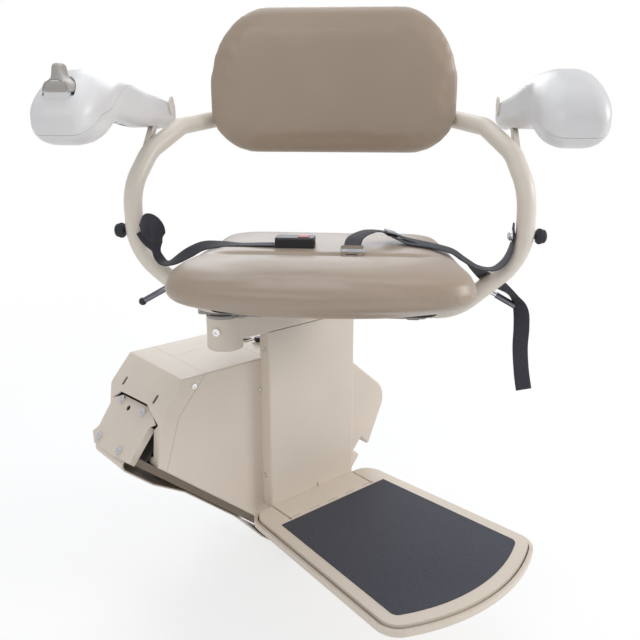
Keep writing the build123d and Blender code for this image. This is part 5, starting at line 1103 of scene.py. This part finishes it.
class CHAIR_OT_belt(bpy.types.Operator):
    """Lay the lap belt's webbing over the seat"""

    bl_idname = "chair.belt"
    bl_label = "Lap belt"

    def execute(self, context):
        for name, node, stations, side in (
            ("tongue_webbing", "tongue_strap", TONGUE_STRAP, RIGHT),
            ("buckle_webbing", "buckle_strap", BUCKLE_STRAP, LEFT),
        ):
            piece = add_mesh(name, ribbon(name, stations), "webbing", None)
            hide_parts(node)
            start, end = [seat_point(side * u, v, z) for u, v, z in (FIXED_END, SEAT_EDGE)]
            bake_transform(piece)
        lining = ribbon("anchor_tab_lining", TAB_LINING)
        add_mesh("anchor_tab_lining", lining, "webbing", "swivel_frame")
        tail = add_mesh("belt_tail", ribbon("belt_tail", BELT_TAIL), "webbing", None)
        seat_point(*TAIL_EDGE)
        seat_point(*TAIL_FIXED)
        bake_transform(tail)
        return {"FINISHED"}


# middle of the slider and the two points that its length follows, in mm (u, v, z)
SLIDER_AT = (99, -26.5, 489.6)
SLIDER_FROM = (86, -32, 492.8)
SLIDER_TO = (112, -26.5, 485.5)
# length and width of the slider's plates and the rounding of their edges, in metres
SLIDER_SIZE = (0.017, 0.031)
SLIDER_ROUND = 0.0009


class CHAIR_OT_slider(bpy.types.Operator):
    """Put the slider's two plates over and under the webbing"""

    bl_idname = "chair.slider"
    bl_label = "Belt slider"

    def execute(self, context):
        middle = seat_point(*SLIDER_AT)
        along = (seat_point(*SLIDER_TO) - seat_point(*SLIDER_FROM)).normalized()
        across = (SEAT_X * 0.3 - SEAT_Y * 0.95).normalized()
        across = (across - along * across.dot(along)).normalized()
        lift = along.cross(across)
        if lift.z < 0:
            lift = -lift
        turned_to = Matrix((along, across, lift)).transposed().to_4x4()
        for name, shift, thickness, finish in (
            ("belt_slider", 0.0022, 0.0026, "slider"),
            ("belt_slider_base", -0.0024, 0.0024, "black"),
        ):
            mesh = bpy.data.meshes.new(name)
            with reshaped(mesh) as plate:
                bmesh.ops.create_cube(plate, size=1.0)
                bmesh.ops.scale(plate, vec=(*SLIDER_SIZE, thickness), verts=plate.verts)
                bmesh.ops.bevel(
                    plate, geom=plate.edges[:], offset=SLIDER_ROUND, segments=3, affect="EDGES", profile=0.5
                )
                place = Matrix.Translation(middle + lift * shift) @ turned_to
                bmesh.ops.transform(plate, matrix=place, verts=plate.verts)
                bmesh.ops.recalc_face_normals(plate, faces=plate.faces)
            add_mesh(name, mesh, finish, "flip_seat")
        return {"FINISHED"}


# rows of stitches, as shares of the half width, and the steps of the buckle's webbing that they span
STITCH_ROWS = (-0.7, -0.25, 0.25, 0.7)
STITCH_SPAN = slice(12, 30)
# the thread's radius and how far its middle lies above the webbing, in metres
THREAD_RADIUS = 0.00032
THREAD_LIFT = 0.00005


class CHAIR_OT_stitches(bpy.types.Operator):
    """Sew the rows of stitches where the webbing is folded back"""

    bl_idname = "chair.stitches"
    bl_label = "Belt stitches"

    def execute(self, context):
        sizes = context.scene.chair_sizes
        tree = stitch_tree()
        values = {"Pitch": sizes.stitch, "Thread": THREAD_RADIUS, "Reach": 0.45 * sizes.stitch}
        middles, widths = webbing_line(BUCKLE_STRAP)
        lift = UP * (sizes.web_thickness / 2 + THREAD_LIFT)
        for row, share in enumerate(STITCH_ROWS):
            line = [
                middle + width.normalized() * share * sizes.web_width / 2 + lift
                for middle, width in zip(middles[STITCH_SPAN], widths[STITCH_SPAN])
            ]
            name = f"buckle_stitches_{row}"
            run_tree(name, tree, curve_through(name, line), values, "slider", "flip_seat")
        return {"FINISHED"}


# the belt's fittings go through the tubes here (v, z); u of the tubes' inner and outer faces, in mm
FITTING = (-46, 492)
TUBE_INSIDE = 280.4
TUBE_OUTSIDE = 315.4
# height along a knob in metres, and the share of its radius there
KNOB_PROFILE = (
    (0.0, 0.80), (0.0006, 0.93), (0.0022, 1), (0.0085, 1), (0.0092, 0.93), (0.0100, 0.93),
    (0.0107, 0.98), (0.0128, 0.90), (0.0146, 0.70), (0.0158, 0.42), (0.0162, 0.15),
)
# middle of the ribs above the knob's foot, and half their length, in metres
RIB_MIDDLE = 0.0052
RIB_REACH = 0.0036
# half a rib's thickness, as a share of the knob's radius
RIB_SHARE = 0.10


class CHAIR_OT_knobs(bpy.types.Operator):
    """Ribbed rubber knobs that pinch the belt's fittings to the tubes"""

    bl_idname = "chair.knobs"
    bl_label = "Anchor knobs"

    def execute(self, context):
        sizes = context.scene.chair_sizes
        tree = rib_tree()
        radius = sizes.knob_radius
        profile = [(along, radius * share) for along, share in KNOB_PROFILE]
        for side, name in ((LEFT, "left_anchor_knob"), (RIGHT, "right_anchor_knob")):
            axis = SEAT_X * side
            start = seat_point(side * TUBE_OUTSIDE, *FITTING)
            values = {
                "Count": sizes.knob_ribs,
                "Radius": radius,
                "Rib": radius * RIB_SHARE,
                "Length": RIB_REACH,
                "Centre": tuple(start + axis * RIB_MIDDLE),
                "Turn": tuple(axis.to_track_quat("Z", "Y").to_euler()),
            }
            knob = turned(name, start, axis, profile)
            run_tree(name, tree, knob, values, "rubber", "swivel_frame")
        return {"FINISHED"}


# (height, radius) along a bolt's head: washer, dome and socket, in metres
BOLT_HEAD = (
    (0.0, 0.0092), (0.0012, 0.0094), (0.0016, 0.0085), (0.0022, 0.0082), (0.0044, 0.0076),
    (0.0060, 0.0062), (0.0066, 0.0046), (0.0060, 0.0040), (0.0056, 0.0020),
)


class CHAIR_OT_bolt_heads(bpy.types.Operator):
    """Chrome domes on the belt's fittings, inside the tubes"""

    bl_idname = "chair.bolt_heads"
    bl_label = "Belt bolt heads"

    def execute(self, context):
        for side, name in ((LEFT, "left_belt_bolt"), (RIGHT, "right_belt_bolt")):
            start = seat_point(side * TUBE_INSIDE, *FITTING)
            mesh = turned(name, start, -SEAT_X * side, BOLT_HEAD)
            add_mesh(name, mesh, "chrome", "swivel_frame")
        return {"FINISHED"}


# the line of a lever's grip, from the sleeve's inner end to the ball tip, in mm (u, v, z)
GRIP_FROM = (271.0, 10, 385.2)
GRIP_TO = (315.0, 10, 360.0)
# radius of the sleeve's hole for the rod, in metres
ROD_HOLE = 0.0046
GRIP_SIDES = 28


class CHAIR_OT_lever_grips(bpy.types.Operator):
    """Sleeves and tips on the two swivel levers"""

    bl_idname = "chair.lever_grips"
    bl_label = "Lever grips"

    def execute(self, context):
        radius = context.scene.chair_sizes.grip_radius
        ball = radius * 1.08
        for side, body, label in (
            (LEFT, "left_swivel_lever", "left_lever"),
            (RIGHT, "right_swivel_lever", "right_lever"),
        ):
            start, end = [seat_point(side * u, v, z) for u, v, z in (GRIP_FROM, GRIP_TO)]
            axis = (end - start).normalized()
            length = (end - start).length
            sleeve = (
                (0.0, ROD_HOLE), (0.0005, radius * 0.76), (0.0014, radius * 0.82),
                (length - 0.0075, radius * 0.82), (length - 0.0065, radius * 0.76),
                (length - 0.0060, ROD_HOLE),
            )
            turns = [math.radians(turn) for turn in range(46, 178, 12)]
            tip = [(length - 0.0018 - math.cos(turn) * ball, math.sin(turn) * ball) for turn in turns]
            for part, profile, finish in (("grip", sleeve, "grip"), ("tip", tip, "black")):
                name = f"{label}_{part}"
                mesh = turned(name, start, axis, profile, GRIP_SIDES)
                add_mesh(name, mesh, finish, body)
        return {"FINISHED"}


# half the floor's side and how far it lies below the chair, in metres
FLOOR_REACH = 9
FLOOR_GAP = 0.002
# what the soft boxes shine at; then the name, place, side in metres, watts and tint of each
LIT_CENTRE = Vector((0.0, -0.30, 0.35))
SOFTBOXES = (
    ("left_softbox", (-2.3, -1.5, 2.0), 1.5, 16, (1.0, 0.97, 0.93)),
    ("right_softbox", (2.1, -2.2, 1.5), 1.3, 40, (1.0, 0.985, 0.97)),
    ("top_softbox", (0.1, 0.3, 2.8), 2.0, 20, (0.93, 0.96, 1.0)),
    ("rear_softbox", (1.5, 1.7, 1.7), 1.6, 20, (0.93, 0.96, 1.0)),
)
WHITE = (1, 1, 1, 1)
SKY_TINT = (0.92, 0.95, 1.0, 1)
SKY_STRENGTH = 0.58
# the camera that fits the photograph: place in metres, turn in degrees, lens in mm
CAMERA_AT = (-0.6904, -1.2338, 0.7082)
CAMERA_YAW = 40.42
CAMERA_PITCH = 17.14
CAMERA_LENS = 42.75
CAMERA_SENSOR = 36.0


def lay_floor(scene):
    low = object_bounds()[0][2] - FLOOR_GAP
    corners = [(x * FLOOR_REACH, y * FLOOR_REACH, low) for x, y in ((-1, -1), (1, -1), (1, 1), (-1, 1))]
    floor = mesh_from("studio_floor", corners, [(0, 1, 2, 3)])
    floor.materials.append(studio_floor("studio_floor"))
    ground = bpy.data.objects.new("studio_floor", floor)
    scene.collection.objects.link(ground)
    ground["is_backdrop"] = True


def light_world(scene):
    """Dim light from all round, which the camera sees as white."""
    scene.world = bpy.data.worlds.new("studio")
    scene.world.use_nodes = True
    sky = Nodes(scene.world.node_tree)
    sky.tree.nodes.clear()
    seen = sky.node("ShaderNodeLightPath").outputs["Is Camera Ray"]
    lit = sky.node("ShaderNodeBackground", {}, {"Color": SKY_TINT, "Strength": SKY_STRENGTH})
    plain = sky.node("ShaderNodeBackground", {}, {"Color": WHITE, "Strength": 1.0})
    choose = sky.node("ShaderNodeMixShader", {}, {0: seen, 1: lit.outputs[0], 2: plain.outputs[0]})
    sky.node("ShaderNodeOutputWorld", {}, {"Surface": choose.outputs[0]})


def hang_softboxes(scene):
    for name, spot, size, watts, tint in SOFTBOXES:
        lamp = bpy.data.lights.new(name, "AREA")
        lamp.size = size
        lamp.energy = watts
        lamp.color = tint
        holder = bpy.data.objects.new(name, lamp)
        holder.location = spot
        holder.rotation_euler = (LIT_CENTRE - Vector(spot)).to_track_quat("-Z", "Y").to_euler()
        scene.collection.objects.link(holder)


def set_camera(scene):
    lens = bpy.data.cameras.new("camera")
    lens.lens = CAMERA_LENS
    lens.sensor_width = CAMERA_SENSOR
    camera = bpy.data.objects.new("camera", lens)
    camera.location = CAMERA_AT
    camera.rotation_euler = (math.radians(90 - CAMERA_PITCH), 0, -math.radians(CAMERA_YAW))
    scene.collection.objects.link(camera)
    scene.camera = camera


class CHAIR_OT_stage(bpy.types.Operator):
    """Pale floor, soft lights and the camera"""

    bl_idname = "chair.stage"
    bl_label = "Studio"

    def execute(self, context):
        lay_floor(context.scene)
        light_world(context.scene)
        hang_softboxes(context.scene)
        set_camera(context.scene)
        context.scene.view_settings.view_transform = "Standard"
        return {"FINISHED"}


OPERATORS = (
    CHAIR_OT_finishes,
    CHAIR_OT_upholstery,
    CHAIR_OT_armrests,
    CHAIR_OT_toggle,
    CHAIR_OT_belt,
    CHAIR_OT_slider,
    CHAIR_OT_stitches,
    CHAIR_OT_knobs,
    CHAIR_OT_bolt_heads,
    CHAIR_OT_lever_grips,
    CHAIR_OT_stage,
)


class CHAIR_PT_dressing(bpy.types.Panel):
    """Lists the chair's pieces, sizes and colours"""

    bl_idname = "CHAIR_PT_dressing"
    bl_label = "Stairlift chair"
    bl_space_type = "VIEW_3D"
    bl_region_type = "UI"
    bl_category = "Stairlift"

    def draw(self, context):
        column = self.layout.column(align=True)
        for operator in OPERATORS:
            column.operator(operator.bl_idname)
        for group in (context.scene.chair_sizes, context.scene.chair_colours):
            box = self.layout.box()
            for name in type(group).__annotations__:
                box.prop(group, name)


CLASSES = (ChairColours, ChairSizes, *OPERATORS, CHAIR_PT_dressing)


def register():
    for group in CLASSES:
        bpy.utils.register_class(group)
    bpy.types.Scene.chair_colours = PointerProperty(type=ChairColours)
    bpy.types.Scene.chair_sizes = PointerProperty(type=ChairSizes)


def unregister():
    del bpy.types.Scene.chair_sizes
    del bpy.types.Scene.chair_colours
    for group in reversed(CLASSES):
        bpy.utils.unregister_class(group)


def main():
    register()
    for operator in OPERATORS:
        group, name = operator.bl_idname.split(".")
        getattr(getattr(bpy.ops, group), name)()


if __name__ == "__main__":
    main()
